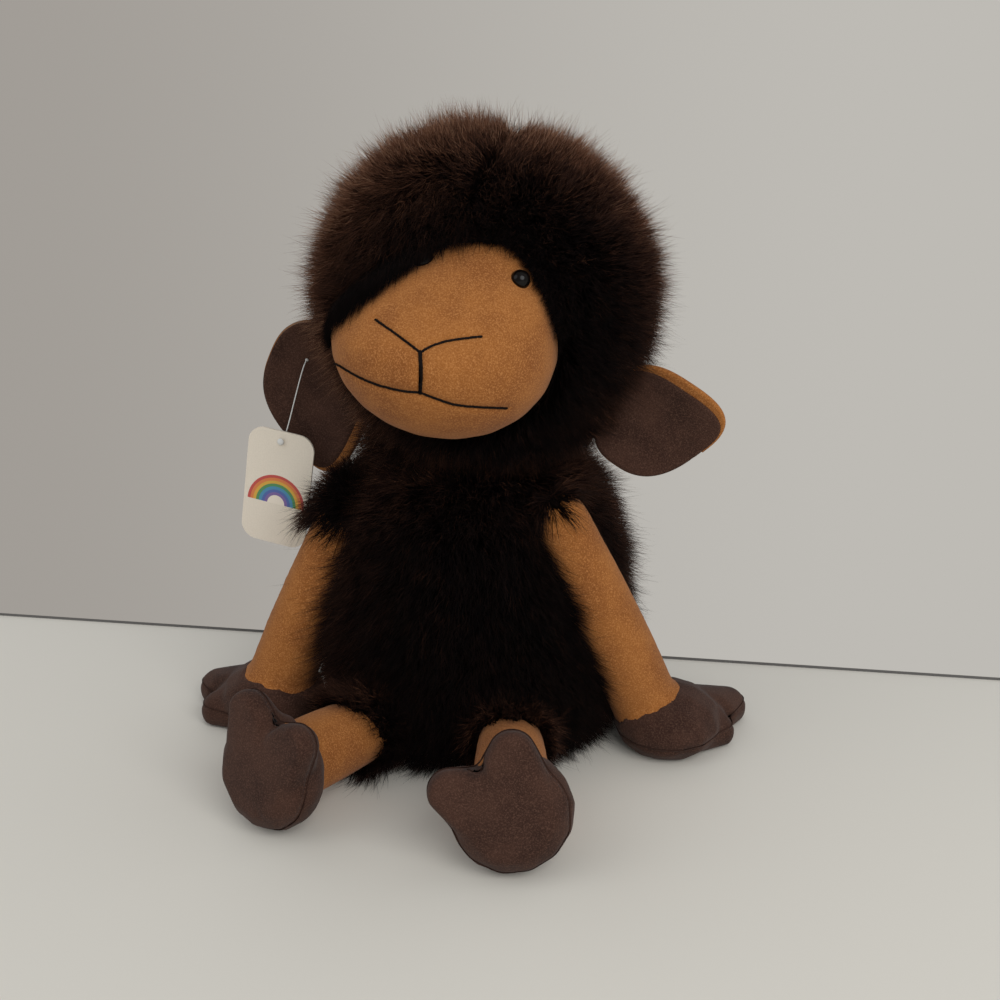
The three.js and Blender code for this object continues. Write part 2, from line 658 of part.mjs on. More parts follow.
// Head on its ball of neck filling, leaning as it sits
const neck = new THREE.Group();
neck.position.set(NECK_X, 0, NECK_Z);
const neckBall = (radius) => solid(ellipsoid(radius, radius, radius, 14, 8));
const neckBore = solid(rod(NECK_OPEN, -FAR, FAR, 16));
const neckCover = neckBall(NECK_RADIUS).subtract(neckBall(NECK_RADIUS - PILE));
neck.add(node("neck_fur", neckCover.subtract(neckBore), COLOURS.fur));
neck.add(node("neck_filling", neckBall(NECK_RADIUS - PILE - GAP), COLOURS.filling));
const lean = new THREE.Group();
lean.rotation.y = rad(HEAD_LEAN);
lean.add(buildHead());
neck.add(lean);
toy.add(neck);
joint("head_turn", neck.position, vec(0, 0, 1), -HEAD_TURN.right, HEAD_TURN.left);
joint("head_nod", neck.position, vec(1, 0, 0), -HEAD_NOD.up, HEAD_NOD.down);

const ears = {};
for (const side of Object.keys(SIDES)) {
  ears[side] = buildEar(side);
  lean.add(ears[side].ear);
}
toy.updateMatrixWorld(true);
for (const [side, { ear }] of Object.entries(ears)) {
  const across = vec(0, 1, 0).transformDirection(ear.matrixWorld);
  const root = ear.getWorldPosition(vec(0, 0, 0));
  const [forward, back] = EAR_FOLD[side];
  joint(`ear_fold_${side}`, root, across, -forward, back);
}

// Tag pin through the right ear, and the card that hangs on it
function buildTag() {
  const { ear, pin } = ears.right;
  const hole = pin.clone().applyMatrix4(ear.matrixWorld);
  const tag = new THREE.Group();
  tag.position.copy(hole);
  const radius = PIN_DIAMETER / 2;
  const back = SUEDE + 2 * GAP + radius;
  const hang = vec(-PIN_ASIDE, -PIN_OUT, -PIN_DROP);
  const path = new THREE.CubicBezierCurve3(
    vec(0, radius - back, 0),
    vec(0, -PIN_OUT, 0),
    vec(-PIN_ASIDE, -back, -PIN_DROP),
    hang,
  );
  const section = new THREE.Shape();
  section.absarc(0, 0, FILAMENT / 2, 0, 2 * Math.PI);
  const options = { steps: 16, curveSegments: 4, extrudePath: path, bevelEnabled: false };
  const knobOut = PIN_OUT + TAG_THICK + GAP + KNOB_THICK / 2;
  const rim = TAG_HOLE / 2 + KNOB_OVER;
  const pieces = [
    new THREE.ExtrudeGeometry(section, options),
    rod(radius, -PIN_BAR / 2, PIN_BAR / 2, 8).translate(0, back, 0),
    rod(radius, -back, back, 8).rotateX(Math.PI / 2),
    rod(radius, PIN_OUT - radius, knobOut, 8).rotateX(Math.PI / 2).translate(hang.x, 0, hang.z),
    ellipsoid(rim, KNOB_THICK / 2, rim, 10, 6).translate(hang.x, -knobOut, hang.z),
  ];
  const moulded = pieces.map(solid).reduce((all, one) => all.add(one));
  tag.add(node("tag_pin", moulded, COLOURS.nylon, 0.3));

  const card = new THREE.Shape();
  const [w, top, foot, r] = [TAG_WIDTH / 2, TAG_HOLE_IN, TAG_HOLE_IN - TAG_LENGTH, TAG_CORNER];
  card.absarc(w - r, top - r, r, 0, Math.PI / 2);
  card.absarc(-w + r, top - r, r, Math.PI / 2, Math.PI);
  card.absarc(-w + r, foot + r, r, Math.PI, 1.5 * Math.PI);
  card.absarc(w - r, foot + r, r, 1.5 * Math.PI, 2 * Math.PI);
  const punched = new THREE.Path();
  punched.absarc(0, 0, TAG_HOLE / 2, 0, 2 * Math.PI);
  card.holes.push(punched);
  const sheet = new THREE.ExtrudeGeometry(card, {
    depth: TAG_THICK,
    curveSegments: 6,
    bevelEnabled: false,
  });
  sheet.rotateX(Math.PI / 2).rotateY(rad(TAG_ROLL)).translate(...hang.toArray());
  tag.add(node("hang_tag", solid(sheet), COLOURS.card, 0.7));
  toy.add(tag);
  joint("pin_swing", hole, vec(0, 1, 0), -PIN_SWING.in, PIN_SWING.out);
  const length = vec(0, 0, 1).applyAxisAngle(vec(0, 1, 0), rad(TAG_ROLL));
  joint("tag_twist", hang.add(hole), length, -TAG_TWIST, TAG_TWIST);
}
buildTag();

// Origin: middle of the bounding box, at the seat's plane
toy.updateMatrixWorld(true);
const box = new THREE.Box3().setFromObject(toy, true);
const middle = box.getCenter(vec(0, 0, 0)).setZ(box.min.z);
toy.position.sub(middle);
for (const one of Object.values(JOINTS)) one.point.sub(middle);
const part = new THREE.Group();
part.name = "plush_alpaca";
part.add(toy);
part.userData.joints = JOINTS;

export default part;
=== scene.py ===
import json
import math

import bmesh
import bpy
import numpy as np
from mathutils import Matrix, Vector
from mathutils.bvhtree import BVHTree


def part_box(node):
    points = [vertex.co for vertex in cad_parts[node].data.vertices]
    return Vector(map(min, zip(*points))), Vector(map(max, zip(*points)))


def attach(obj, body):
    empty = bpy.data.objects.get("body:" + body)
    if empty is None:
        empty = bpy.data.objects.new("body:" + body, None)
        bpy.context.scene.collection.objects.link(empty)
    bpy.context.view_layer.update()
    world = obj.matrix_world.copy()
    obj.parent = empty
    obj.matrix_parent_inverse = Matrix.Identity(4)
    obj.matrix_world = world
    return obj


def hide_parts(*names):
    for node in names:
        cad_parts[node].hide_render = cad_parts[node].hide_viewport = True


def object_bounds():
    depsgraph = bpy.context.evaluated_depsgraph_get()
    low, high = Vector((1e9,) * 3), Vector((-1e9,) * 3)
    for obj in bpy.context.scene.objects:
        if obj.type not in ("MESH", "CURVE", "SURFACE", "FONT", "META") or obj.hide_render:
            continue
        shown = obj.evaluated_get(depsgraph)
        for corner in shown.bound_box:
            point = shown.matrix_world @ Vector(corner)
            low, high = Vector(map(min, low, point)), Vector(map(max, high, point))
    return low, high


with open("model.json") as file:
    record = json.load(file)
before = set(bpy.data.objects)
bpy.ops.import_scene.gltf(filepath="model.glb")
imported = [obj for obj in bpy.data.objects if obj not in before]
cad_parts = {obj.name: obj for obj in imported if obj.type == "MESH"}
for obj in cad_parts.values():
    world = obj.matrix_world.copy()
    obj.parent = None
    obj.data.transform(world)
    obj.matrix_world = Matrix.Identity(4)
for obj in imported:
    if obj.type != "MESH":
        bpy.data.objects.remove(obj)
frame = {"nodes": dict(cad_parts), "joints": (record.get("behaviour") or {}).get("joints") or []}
cad_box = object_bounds()

# Photograph: pixels of a square picture, and the camera that took it
PICTURE = 1000
FOCAL = 1300
CAMERA_FROM_NECK = Vector((0.1689, -0.56057, 0.188))
CAMERA_ROUND = 15  # degrees from the front towards the toy's left
CAMERA_DIP = 20  # degrees below level
WALL_FOOT_LEFT = (0, 615)
WALL_FOOT_RIGHT = (1000, 680)
TOY_NEAR, TOY_FAR = 0.3, 0.8  # metres from the camera

# Lines sewn on the face, as they run in the picture
NOSTRIL_RIGHT = ((375, 319), (398, 335), (420, 352))
NOSTRIL_LEFT = ((420, 352), (436, 343), (455, 339), (482, 336))
PHILTRUM = ((420, 351), (421, 372), (420, 394))
MOUTH_RIGHT = ((421, 393), (403, 392), (377, 386), (352, 375), (333, 362))
MOUTH_LEFT = ((419, 393), (438, 400), (455, 406), (481, 408), (508, 409))
FACE_LINES = (NOSTRIL_RIGHT, NOSTRIL_LEFT, PHILTRUM, MOUTH_RIGHT, MOUTH_LEFT)
FACE_THREADS = (0.001, 0.001, 0.0016, 0.001, 0.001)  # widths in metres

# Edges of the fur over the brow, and which way the fur comes from
BROW_RIGHT = ((326, 352), (352, 326), (385, 296), (414, 276), (436, 260), (456, 248), (488, 247))
BROW_LEFT = ((480, 246), (504, 251), (517, 263), (526, 281), (536, 300), (546, 322), (552, 342))
FROM_RIGHT, FROM_LEFT = (-0.66, -0.75), (0.86, -0.5)

# Toy, in metres and degrees
HEAD_RISE = 0.076  # head's centre above the neck's pivot, along the leaning head
HEAD_LEAN = 9
SUEDE = 0.0014
EYE_RADIUS = 0.0041
EYE_HEIGHT = 0.0042
EYE_DIMPLE = 0.0012
EYE_DIMPLE_RADIUS = 0.007
EYE_SUNK = 0.001
FACE_SKIN = (0.0022, 12)  # grid of a rounded skin, and rounds of smoothing
FACE_FULLER = 0.0013  # the face stands this far out of its solid
CHIN_FULLER = 0.0024  # and this much more under the chin
PULL_DEPTH = 0.0007  # how far the sewn lines pull the face in
PULL_RADIUS = 0.0016
EAR_LENGTH = {"left": 0.046, "right": 0.061}
EAR_WIDTH = {"left": 0.050, "right": 0.055}
EAR_CUP = 0.005
EAR_SQUARE = 2.8  # 2 makes its outline round, more makes it square
EAR_SKEW = {"left": 0.3, "right": 0.4}  # how much further one edge reaches than the other
EAR_ASIDE = {"left": -0.0044, "right": 0.0}  # the ear's middle from its root, to that edge
EAR_ROLL = 0.13  # part of the half width where the tan panel rolls over to the front
EAR_PUFF = 0.0009
EAR_ROWS = 41
EAR_GAP = 0.0002  # half the space between its panels
FULLER = {"arm": 0.0016, "leg": 0.0006}  # sleeves stand this far out of their solids
SLEEVE_SKIN = (0.0025, 8)
HOOF_SKIN = (0.0015, 4)
HOOF_INSET, SLEEVE_INSET = 0.0005, 0.003  # each cover ends this deep in the other
HOOF_SWELL, SLEEVE_SWELL = 0.0014, 0.001  # most that the filling moves them
SEAM_HELD, ROOT_HELD = 0.0012, 0.02  # places this near a seam or a root aren't moved
SEAM_RISE = {"arm": 0.0085, "leg": 0.0045}  # sole seam above the sole
SEAM_DEPTH = 0.0003
SEAM_WIDTH = 0.0011
CREASE = 0.0022  # depth of the fold between a hoof's toes
CREASE_WIDTH = 0.003
CREASE_LENGTH = 0.55  # share of the way from the notch to the hoof's middle
FILLING_PRESSURE = 4
FILLING_FRAMES = 20
STITCH = 0.0027
STITCH_GAP = 0.0005
SOLE_THREAD = 0.0006
SOLE_STITCH = 0.0018
SOLE_STITCH_GAP = 0.0016
SOLE_STITCH_OFF = 0.0012  # from the seam
THREAD_STEP = 0.0003

# Hang tag's pin, as it is moulded
PIN_OUT = 0.009
PIN_BACK = 0.0028
PIN_BAR = 0.009
PIN_RADIUS = 0.0007
FILAMENT_RADIUS = 0.0003
KNOB_RADIUS = 0.0017
KNOB_THICK = 0.0016
TAG_THICK = 0.001
TAG_CLEAR = 0.00035

# Fur
FUR_ROOT = 0.005  # the cloth lies this far inside the solid's surface
SEAT_ROOT = 0.0005  # and this far where it faces the floor
CLOTH_SKIN = (0.004, 6)
FLOOR_CLEAR = 0.0006
ROOT_CLEAR = 0.0005  # from other pieces, for the hairs' roots, middles and tips
MIDDLE_CLEAR = 0.0012
TIP_CLEAR = 0.0014
UNDERCOAT = {"per_mm2": 0.36, "each": 4, "spread": 0.0016, "gather": 0.15, "stray": 0.16}
UNDERCOAT |= {"length": 0.0142, "vary": 0.2, "width": 0.0003}
GUARD = {"per_mm2": 0.08, "each": 8, "spread": 0.0014, "gather": 0.45, "stray": 0.14}
GUARD |= {"length": 0.0182, "vary": 0.22, "width": 0.00018}
WISPS = {"per_mm2": 0.06, "each": 4, "spread": 0.0012, "gather": 0.2, "stray": 0.25}
WISPS |= {"length": 0.0215, "vary": 0.25, "width": 0.00012}
FUR_REACH = 0.0155  # how far the longest hairs stand out of the box round the solids
FRONT_TONE = 0.95  # place on the scale of tones where the fur faces the front, near black as painted shade
EDGE_TONE = 4.1  # and where it faces away, browner as painted backlight through the hairs
TONE_SPREAD = 0.5
PIECE_STRANDS = 19000  # most strands in one piece
BROW_EACH = 5  # strands in a tuft of the brow
BROW_REACH = (-3, 2, 26)  # pixels behind the edge: least, most often, most

# How far the fur covers each limb, along it from its joint
COVERED = {"arm_left": -0.009, "arm_right": 0.013, "leg_left": 0.006, "leg_right": 0.018}
COVERED_MORE = {"arm": (-0.8, 0.6, 0), "leg": (0, 0, 1)}  # side where it reaches further
OVERHANG = 0.012
RAGGED = 0.002

SIDES = {"left": 1, "right": -1}
ASKEW = (0.31, 0.52, 0.79)  # slanting direction that threads and hairs take their sides from
JOINTS = {joint["name"]: joint for joint in frame["joints"]}
SCENE = bpy.context.scene


def srgb(*parts):
    """A colour as it is seen, 0 to 255, as the shader's linear one."""
    shares = [part / 255 for part in parts]
    linear = [s / 12.92 if s <= 0.04045 else ((s + 0.055) / 1.055) ** 2.4 for s in shares]
    return (*linear, 1.0)


# picked by which way the fur faces: the darker tones are painted shade in front, the lighter ones
# painted backlight where it faces away
FUR_TONES = {
    "fur_shade": srgb(8, 4, 4),
    "fur_dark": srgb(24, 13, 10),
    "fur_deep": srgb(52, 32, 23),
    "fur_brown": srgb(88, 58, 42),
    "fur_warm": srgb(132, 97, 75),
}  # from the darkest
TAN = srgb(147, 92, 44)
TAN_PALE = srgb(184, 126, 73)
TAN_DEEP = srgb(124, 73, 34)
BROWN = srgb(66, 44, 35)
BROWN_PALE = srgb(90, 65, 53)
BROWN_DEEP = srgb(47, 30, 24)
CARD = srgb(230, 220, 204)
CARD_DEEP = srgb(196, 186, 168)
PRINT = {
    0.0045: srgb(108, 82, 150),
    0.006: srgb(52, 84, 160),
    0.0075: srgb(40, 128, 168),
    0.009: srgb(52, 130, 74),
    0.0105: srgb(206, 158, 40),
    0.012: srgb(206, 112, 44),
    0.0135: srgb(184, 48, 46),
}  # rings of a printed bow, by the radius that each begins at
PRINT_EDGE = 0.015
PRINT_DROP = 0.033  # middle of the bow below the tag's hole
# wall seen behind the floor: painted shade makes its left side darker than its right
WALL_SHADED_LEFT = srgb(161, 156, 150)
WALL_RIGHT = srgb(190, 187, 181)
AMBIENT = (0.57, 0.58, 0.6, 1.0)
FLOOR = srgb(212, 208, 198)
LIGHT_AIM = Vector((0, 0.03, 0.14))


def pivot(name):
    return Vector(JOINTS[name]["pos_m"])


def joint_axis(name):
    return Vector(JOINTS[name]["axis"]).normalized()


CAMERA_AT = pivot("head_turn") + CAMERA_FROM_NECK


class Wire:
    """A shader socket that can stand in Python expressions."""

    def __init__(self, tree, socket=None):
        self.tree = tree
        self.socket = socket

    def node(self, kind, settings=None, links=None, out=0):
        made = self.tree.nodes.new(kind)
        for key, value in (settings or {}).items():
            if key == "stops":
                ramp = made.color_ramp
                ramp.interpolation = "CONSTANT"
                for number, (place, colour) in enumerate(value):
                    stop = ramp.elements[number] if number < 2 else ramp.elements.new(place)
                    stop.position = place
                    stop.color = colour
            else:
                setattr(made, key, value)
        for key, value in (links or {}).items():
            if isinstance(value, Wire):
                self.tree.links.new(value.socket, made.inputs[key])
            else:
                made.inputs[key].default_value = value
        return Wire(self.tree, made.outputs[out])

    def math(self, operation, *others):
        values = dict(enumerate((self, *others)))
        return self.node("ShaderNodeMath", {"operation": operation}, values)

    def __add__(self, other):
        return self.math("ADD", other)

    def __sub__(self, other):
        return self.math("SUBTRACT", other)

    def __rsub__(self, other):
        return self.math("MULTIPLY_ADD", -1.0, other)

    def __mul__(self, other):
        return self.math("MULTIPLY", other)

    __radd__ = __add__
    __rmul__ = __mul__

    def mixed(self, low, high):
        """Colour from low to high as this value goes from 0 to 1."""
        settings = {"data_type": "RGBA", "clamp_factor": True}
        return self.node("ShaderNodeMix", settings, {0: self, 6: low, 7: high}, out=2)

    def steps(self, low, high):
        """0 below low, 1 above high, smooth between."""
        settings = {"interpolation_type": "SMOOTHSTEP"}
        return self.node("ShaderNodeMapRange", settings, {0: self, 1: low, 2: high})

    def along(self, way, start):
        """How far a place lies along a direction from a start."""
        kind = "ShaderNodeVectorMath"
        minus = self.node(kind, {"operation": "SUBTRACT"}, {0: self, 1: start})
        return self.node(kind, {"operation": "DOT_PRODUCT"}, {0: minus, 1: way}, out=1)


def material(name, **constants):
    """A new material: its shader's constants set on their own sockets."""
    made = bpy.data.materials.new(name)
    made.use_nodes = True
    shader = made.node_tree.nodes["Principled BSDF"]
    for key, value in constants.items():
        shader.inputs[key.replace("_", " ")].default_value = value
    return made, shader, Wire(made.node_tree)


def feed(wire, shader, socket):
    wire.tree.links.new(wire.socket, shader.inputs[socket])


def noise(paint, place, scale, detail=2, rough=0.5):
    links = {"Vector": place, "Scale": scale, "Detail": detail, "Roughness": rough}
    return paint.node("ShaderNodeTexNoise", None, links)


def relief(paint, shader, height, strength, distance):
    links = {"Height": height, "Strength": strength, "Distance": distance}
    feed(paint.node("ShaderNodeBump", None, links), shader, "Normal")


def suede(name, tone, pale, deep):
    """Brushed cloth: cloudy where the nap lies differently, with a fine grain."""
    made, shader, paint = material(
        name, Roughness=0.95, Specular_IOR_Level=0.1, Sheen_Weight=0.06, Sheen_Roughness=0.5
    )
    place = paint.node("ShaderNodeTexCoord", out=3)
    clouds = noise(paint, place, 55, 3, 0.55)
    grain = noise(paint, place, 1500, 2, 0.7)
    flecks = noise(paint, place, 2600, 1)
    colour = clouds.steps(0.28, 0.66).mixed(deep, tone)
    colour = (grain.steps(0.42, 0.72) * 0.75).mixed(colour, pale)
    colour = (flecks.steps(0.52, 0.66) * 0.5).mixed(colour, deep)
    feed(colour, shader, "Base Color")
    relief(paint, shader, grain * 0.6 + flecks * 0.4, 0.5, 0.0004)
    return made


def plain(name, colour, rough, **constants):
    return material(name, Base_Color=colour, Roughness=rough, **constants)[0]


def thread(name, colour):
    """Twisted thread: the ply shows as a fine relief."""
    made, shader, paint = material(name, Roughness=0.8, Specular_IOR_Level=0.12)
    ply = noise(paint, paint.node("ShaderNodeTexCoord", out=3), 1800, 1)
    feed(ply.mixed(colour, tuple(2.0 * part for part in colour)), shader, "Base Color")
    relief(paint, shader, ply, 0.5, 0.0003)
    return made


def moulded(name, colour, rough, **constants):
    """Smooth plastic with a faint unevenness in its gloss."""
    made, shader, paint = material(name, Base_Color=colour, **constants)
    waves = noise(paint, paint.node("ShaderNodeTexCoord", out=3), 400, 2)
    feed(waves * 0.12 + (rough - 0.06), shader, "Roughness")
    return made


def backing(name, colour, deep):
    """Knitted backing that the pile is rooted in."""
    made, shader, paint = material(name, Roughness=1.0, Specular_IOR_Level=0.05)
    knit = noise(paint, paint.node("ShaderNodeTexCoord", out=3), 1200, 2)
    feed(knit.mixed(deep, colour), shader, "Base Color")
    relief(paint, shader, knit, 0.6, 0.0006)
    return made


def printed_card(name):
    """Matt card, with a bow of coloured rings on its front."""
    hole = pivot("tag_twist")
    up = joint_axis("tag_twist")
    front = Vector((0, -1, 0))
    right = front.cross(up).normalized()
    made, shader, paint = material(name, Roughness=0.7, Specular_IOR_Level=0.3)
    place = paint.node("ShaderNodeTexCoord", out=3)
    facing = paint.node("ShaderNodeTexCoord", out=1).along(front, (0, 0, 0))
    across = place.along(right, hole)
    rise = place.along(up, hole - up * PRINT_DROP)
    radius = (across * across + rise * rise).math("SQRT")
    fibres = noise(paint, place, 1500, 2)
    stops = [(0.0, CARD)] + [(at / PRINT_EDGE, colour) for at, colour in PRINT.items()]
    bow = paint.node("ShaderNodeValToRGB", {"stops": stops}, {0: radius * (1 / PRINT_EDGE)})
    inked = radius.math("LESS_THAN", PRINT_EDGE) * rise.math("GREATER_THAN", 0.0)
    inked = inked * facing.math("GREATER_THAN", 0.5)
    board = (fibres * 0.5).mixed(CARD, CARD_DEEP)
    feed((inked * 0.92).mixed(board, bow), shader, "Base Color")
    relief(paint, shader, fibres, 0.15, 0.0002)
    return made


MATERIALS = {
    "tan": suede("tan_suede", TAN, TAN_PALE, TAN_DEEP),
    "brown": suede("brown_suede", BROWN, BROWN_PALE, BROWN_DEEP),
    "raw_edge": suede("raw_edge", srgb(128, 104, 86), srgb(158, 134, 112), srgb(98, 76, 60)),
    "cloth": backing("fur_backing", srgb(18, 11, 9), srgb(9, 5, 4)),
    "eye": moulded("eye_black", srgb(9, 6, 5), 0.16, Specular_IOR_Level=0.2),
    "thread": thread("black_thread", srgb(13, 8, 7)),
    "brown_thread": thread("brown_thread", srgb(46, 30, 24)),
    "nylon": moulded("nylon", srgb(214, 214, 210), 0.32),
    "card": printed_card("printed_card"),
}
for tone, colour in FUR_TONES.items():
    MATERIALS[tone] = plain(tone, colour, 0.7, Specular_IOR_Level=0.08)


def piece(name, mesh, *finishes, smooth=True):
    made = bpy.data.objects.new(name, mesh)
    SCENE.collection.objects.link(made)
    return finish(made, *finishes, smooth=smooth)


def finish(made, *finishes, smooth=True):
    made.data.materials.clear()
    for name in finishes:
        made.data.materials.append(MATERIALS[name])
    made.data.polygons.foreach_set("use_smooth", np.full(len(made.data.polygons), smooth))
    return made


def settle(made, body, slot, *nodes):
    """A finished piece rides on its body and stands for these solids."""
    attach(made, body)
    if nodes:
        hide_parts(*nodes)
    return made


def solids(*nodes):
    """One bmesh of several of the model's solids."""
    shape = bmesh.new()
    for name in nodes:
        shape.from_mesh(frame["nodes"][name].data)
    bmesh.ops.remove_doubles(shape, verts=shape.verts, dist=1e-6)
    return shape


def hull(*nodes):
    shape = solids(*nodes)
    made = bmesh.ops.convex_hull(shape, input=shape.verts)
    gone = set(made["geom_interior"]) | set(made["geom_unused"])
    inner = [part for part in gone if isinstance(part, bmesh.types.BMVert)]
    bmesh.ops.delete(shape, geom=inner, context="VERTS")
    bmesh.ops.delete(shape, geom=list(set(made["geom_holes"])), context="FACES_ONLY")
    return shape


def mesh_of(shape, name):
    mesh = bpy.data.meshes.new(name)
    shape.to_mesh(mesh)
    shape.free()
    return mesh


def faces_mesh(name, corners, faces):
    mesh = bpy.data.meshes.new(name)
    mesh.from_pydata([tuple(corner) for corner in corners], [], faces)
    return mesh


def applied(made):
    """The piece with its modifiers worked into its mesh."""
    graph = bpy.context.evaluated_depsgraph_get()
    mesh = bpy.data.meshes.new_from_object(made.evaluated_get(graph))
    made.modifiers.clear()
    made.data = mesh
    return made


def rounded(name, shape, voxel, rounds):
    """A smooth closed skin over a faceted shape."""
    made = piece(name, mesh_of(shape, name))
    skin = made.modifiers.new("skin", "REMESH")
    skin.mode = "VOXEL"
    skin.voxel_size = voxel
    ease = made.modifiers.new("ease", "SMOOTH")
    ease.factor = 0.5
    ease.iterations = rounds
    return applied(made)


def refined(made):
    made.modifiers.new("finer", "SUBSURF").levels = 1
    return applied(made)


def points(mesh, attribute="co", of="vertices"):
    parts = getattr(mesh, of)
    found = np.empty(3 * len(parts))
    parts.foreach_get(attribute, found)
    return found.reshape(-1, 3)


def put(mesh, places):
    mesh.vertices.foreach_set("co", places.ravel())
    mesh.update()


def unit(vectors):
    return vectors / np.maximum(np.linalg.norm(vectors, axis=-1, keepdims=True), 1e-12)


def stuffed(made, held, most):
    """Fills a closed cover: it swells between held places, and none moves further than most."""
    place = points(made.data)
    made.vertex_groups.new(name="held").add(np.flatnonzero(held).tolist(), 1.0, "REPLACE")
    cover = made.modifiers.new("cover", "CLOTH")
    cover.settings.use_pressure = True
    cover.settings.uniform_pressure_force = FILLING_PRESSURE
    cover.settings.effector_weights.gravity = 0
    cover.settings.vertex_group_mass = "held"
    cover.collision_settings.use_collision = False
    for number in range(1, FILLING_FRAMES + 1):
        SCENE.frame_set(number)
    applied(made)
    SCENE.frame_set(1)
    made.vertex_groups.clear()
    moved = points(made.data) - place
    far = np.linalg.norm(moved, axis=1, keepdims=True)
    put(made.data, place + moved * np.minimum(1, most / np.maximum(far, 1e-9)))
    return made


def place_camera():
    turn, dip = math.radians(CAMERA_ROUND), math.radians(CAMERA_DIP)
    level = math.cos(dip)
    forward = Vector((-math.sin(turn) * level, math.cos(turn) * level, -math.sin(dip)))
    lens = bpy.data.cameras.new("camera")
    lens.sensor_width = 36
    lens.lens = lens.sensor_width * FOCAL / PICTURE
    camera = bpy.data.objects.new("camera", lens)
    camera.location = CAMERA_AT
    camera.rotation_euler = forward.to_track_quat("-Z", "Y").to_euler()
    SCENE.collection.objects.link(camera)
    SCENE.camera = camera
    bpy.context.view_layer.update()
    return camera


camera = place_camera()


def sight(pixel):
    """Direction from the camera through a pixel of the photograph."""
    across, down = [(part - PICTURE / 2) / FOCAL for part in pixel]
    return (camera.matrix_world.to_3x3() @ Vector((across, -down, -1))).normalized()


def on_floor(pixel):
    way = sight(pixel)
    return CAMERA_AT - way * (CAMERA_AT.z / way.z)


class Skin:
    """A piece's surface, to find places on it."""

    def __init__(self, made):
        self.tree = BVHTree.FromObject(made, bpy.context.evaluated_depsgraph_get())
        place = points(made.data)
        self.low, self.high = place.min(0), place.max(0)

    def seen_at(self, pixel):
        """Place and outward direction where a pixel's line of sight meets the skin."""
        way = sight(pixel)
        spot, out, _, _ = self.tree.ray_cast(CAMERA_AT, way)
        if spot is None:
            line = [CAMERA_AT + way * far for far in np.linspace(TOY_NEAR, TOY_FAR, 200)]
            along = [self.tree.find_nearest(place) for place in line]
            spot, out, _, _ = min(along, key=lambda found: found[3])
        return spot, out

    def nearest(self, places):
        """Places on the skin, and its outward directions there, nearest to some places."""
        found = [self.tree.find_nearest(Vector(place)) for place in places]
        return (np.array([part[k] for part in found]) for k in (0, 1))

    def near(self, places, gap):
        return np.flatnonzero(((places > self.low - gap) & (places < self.high + gap)).all(1))

    def covers(self, places, gap):
        """Which places lie inside the skin, or closer to it than the gap."""
        found = np.zeros(len(places), bool)
        for number in self.near(places, gap):
            spot, out, _, _ = self.tree.find_nearest(Vector(places[number]))
            found[number] = (Vector(places[number]) - spot).dot(out) < gap
        return found

    def push_out(self, places, gap):
        """Moves places that the skin covers out onto it."""
        for number in self.near(places, gap):
            spot, out, _, _ = self.tree.find_nearest(Vector(places[number]))
            if (Vector(places[number]) - spot).dot(out) < gap:
                places[number] = spot + out * gap


def ring_faces(rings, sides):
    """Faces between neighbouring rings of corners."""
    faces = []
    for i in range(rings - 1):
        for k in range(sides):
            a, b = i * sides + k, i * sides + (k + 1) % sides
            faces.append((a, b, b + sides, a + sides))
    return faces


def tube_parts(path, radii, sides):
    """Corners and faces of a closed tube along a path."""
    path = np.asarray(path, float)
    run = unit(np.gradient(path, axis=0))
    side = unit(np.cross(run, np.broadcast_to(ASKEW, path.shape)))
    up = np.cross(side, run)
    turns = np.arange(sides) * 2 * math.pi / sides
    ring = np.cos(turns)[:, None, None] * side + np.sin(turns)[:, None, None] * up
    corners = (path + ring * np.asarray(radii)[:, None]).transpose(1, 0, 2).reshape(-1, 3)
    last = (len(path) - 1) * sides
    faces = [tuple(range(sides))[::-1], tuple(last + k for k in range(sides))]
    return corners, faces + ring_faces(len(path), sides)


def joined(parts):
    """One list of corners and faces from several."""
    corners, faces, first = [], [], 0
    for some_corners, some_faces in parts:
        corners.extend(some_corners)
        faces.extend(tuple(first + k for k in face) for face in some_faces)
        first += len(some_corners)
    return corners, faces


def evenly(path, step):
    """The same path with places at an even distance."""
    path = np.asarray(path, float)
    length = np.concatenate([[0], np.cumsum(np.linalg.norm(np.diff(path, axis=0), axis=1))])
    count = max(2, round(length[-1] / step) + 1)
    wanted = np.linspace(0, length[-1], count)
    return np.stack([np.interp(wanted, length, path[:, k]) for k in range(path.shape[1])], 1)


def softened(path, rounds):
    """A polyline with its corners cut, ends kept."""
    path = np.asarray(path, float)
    for _ in range(rounds):
        early, late = path[:-1] * 0.75 + path[1:] * 0.25, path[:-1] * 0.25 + path[1:] * 0.75
        cut = np.stack([early, late], 1).reshape(-1, path.shape[1])
        path = np.concatenate([path[:1], cut, path[-1:]])
    return path


def stitches(path, out, width, length, gap):
    """Short threads along a path, each dipping into the cloth at its ends."""
    made = []
    both = evenly(np.concatenate([path, out], 1), THREAD_STEP)
    each, skip = max(3, round(length / THREAD_STEP)), max(1, round(gap / THREAD_STEP))
    for first in range(0, len(both) - each // 2, each + skip):
        part = both[first:first + each]
        if len(part) < 3:
            continue
        part = evenly(part, (len(part) - 1) * THREAD_STEP / 6)[:7]
        share = np.linspace(-1, 1, len(part))
        arch = 1 - share**4
        lift = (arch * 0.55 - 0.3) * width
        radii = width * (0.22 + 0.28 * arch)
        made.append(tube_parts(part[:, :3] + part[:, 3:] * lift[:, None], radii, 6))
    return made


# Face, eyes and the lines sewn on it
lean = Matrix.Rotation(math.radians(HEAD_LEAN), 3, "Y")
head_centre = pivot("head_nod") + lean @ Vector((0, 0, HEAD_RISE))


def eye_place(side):
    """Middle of the eye's base, and the direction that it looks in."""
    washer = points(frame["nodes"][f"eye_washer_{side}"].data).mean(0)
    eye = points(frame["nodes"][f"eye_{side}"].data)
    top = eye[np.linalg.norm(eye - washer, axis=1).argmax()]
    way = unit(top - washer)
    return top - way * (EYE_HEIGHT + EYE_SUNK), way


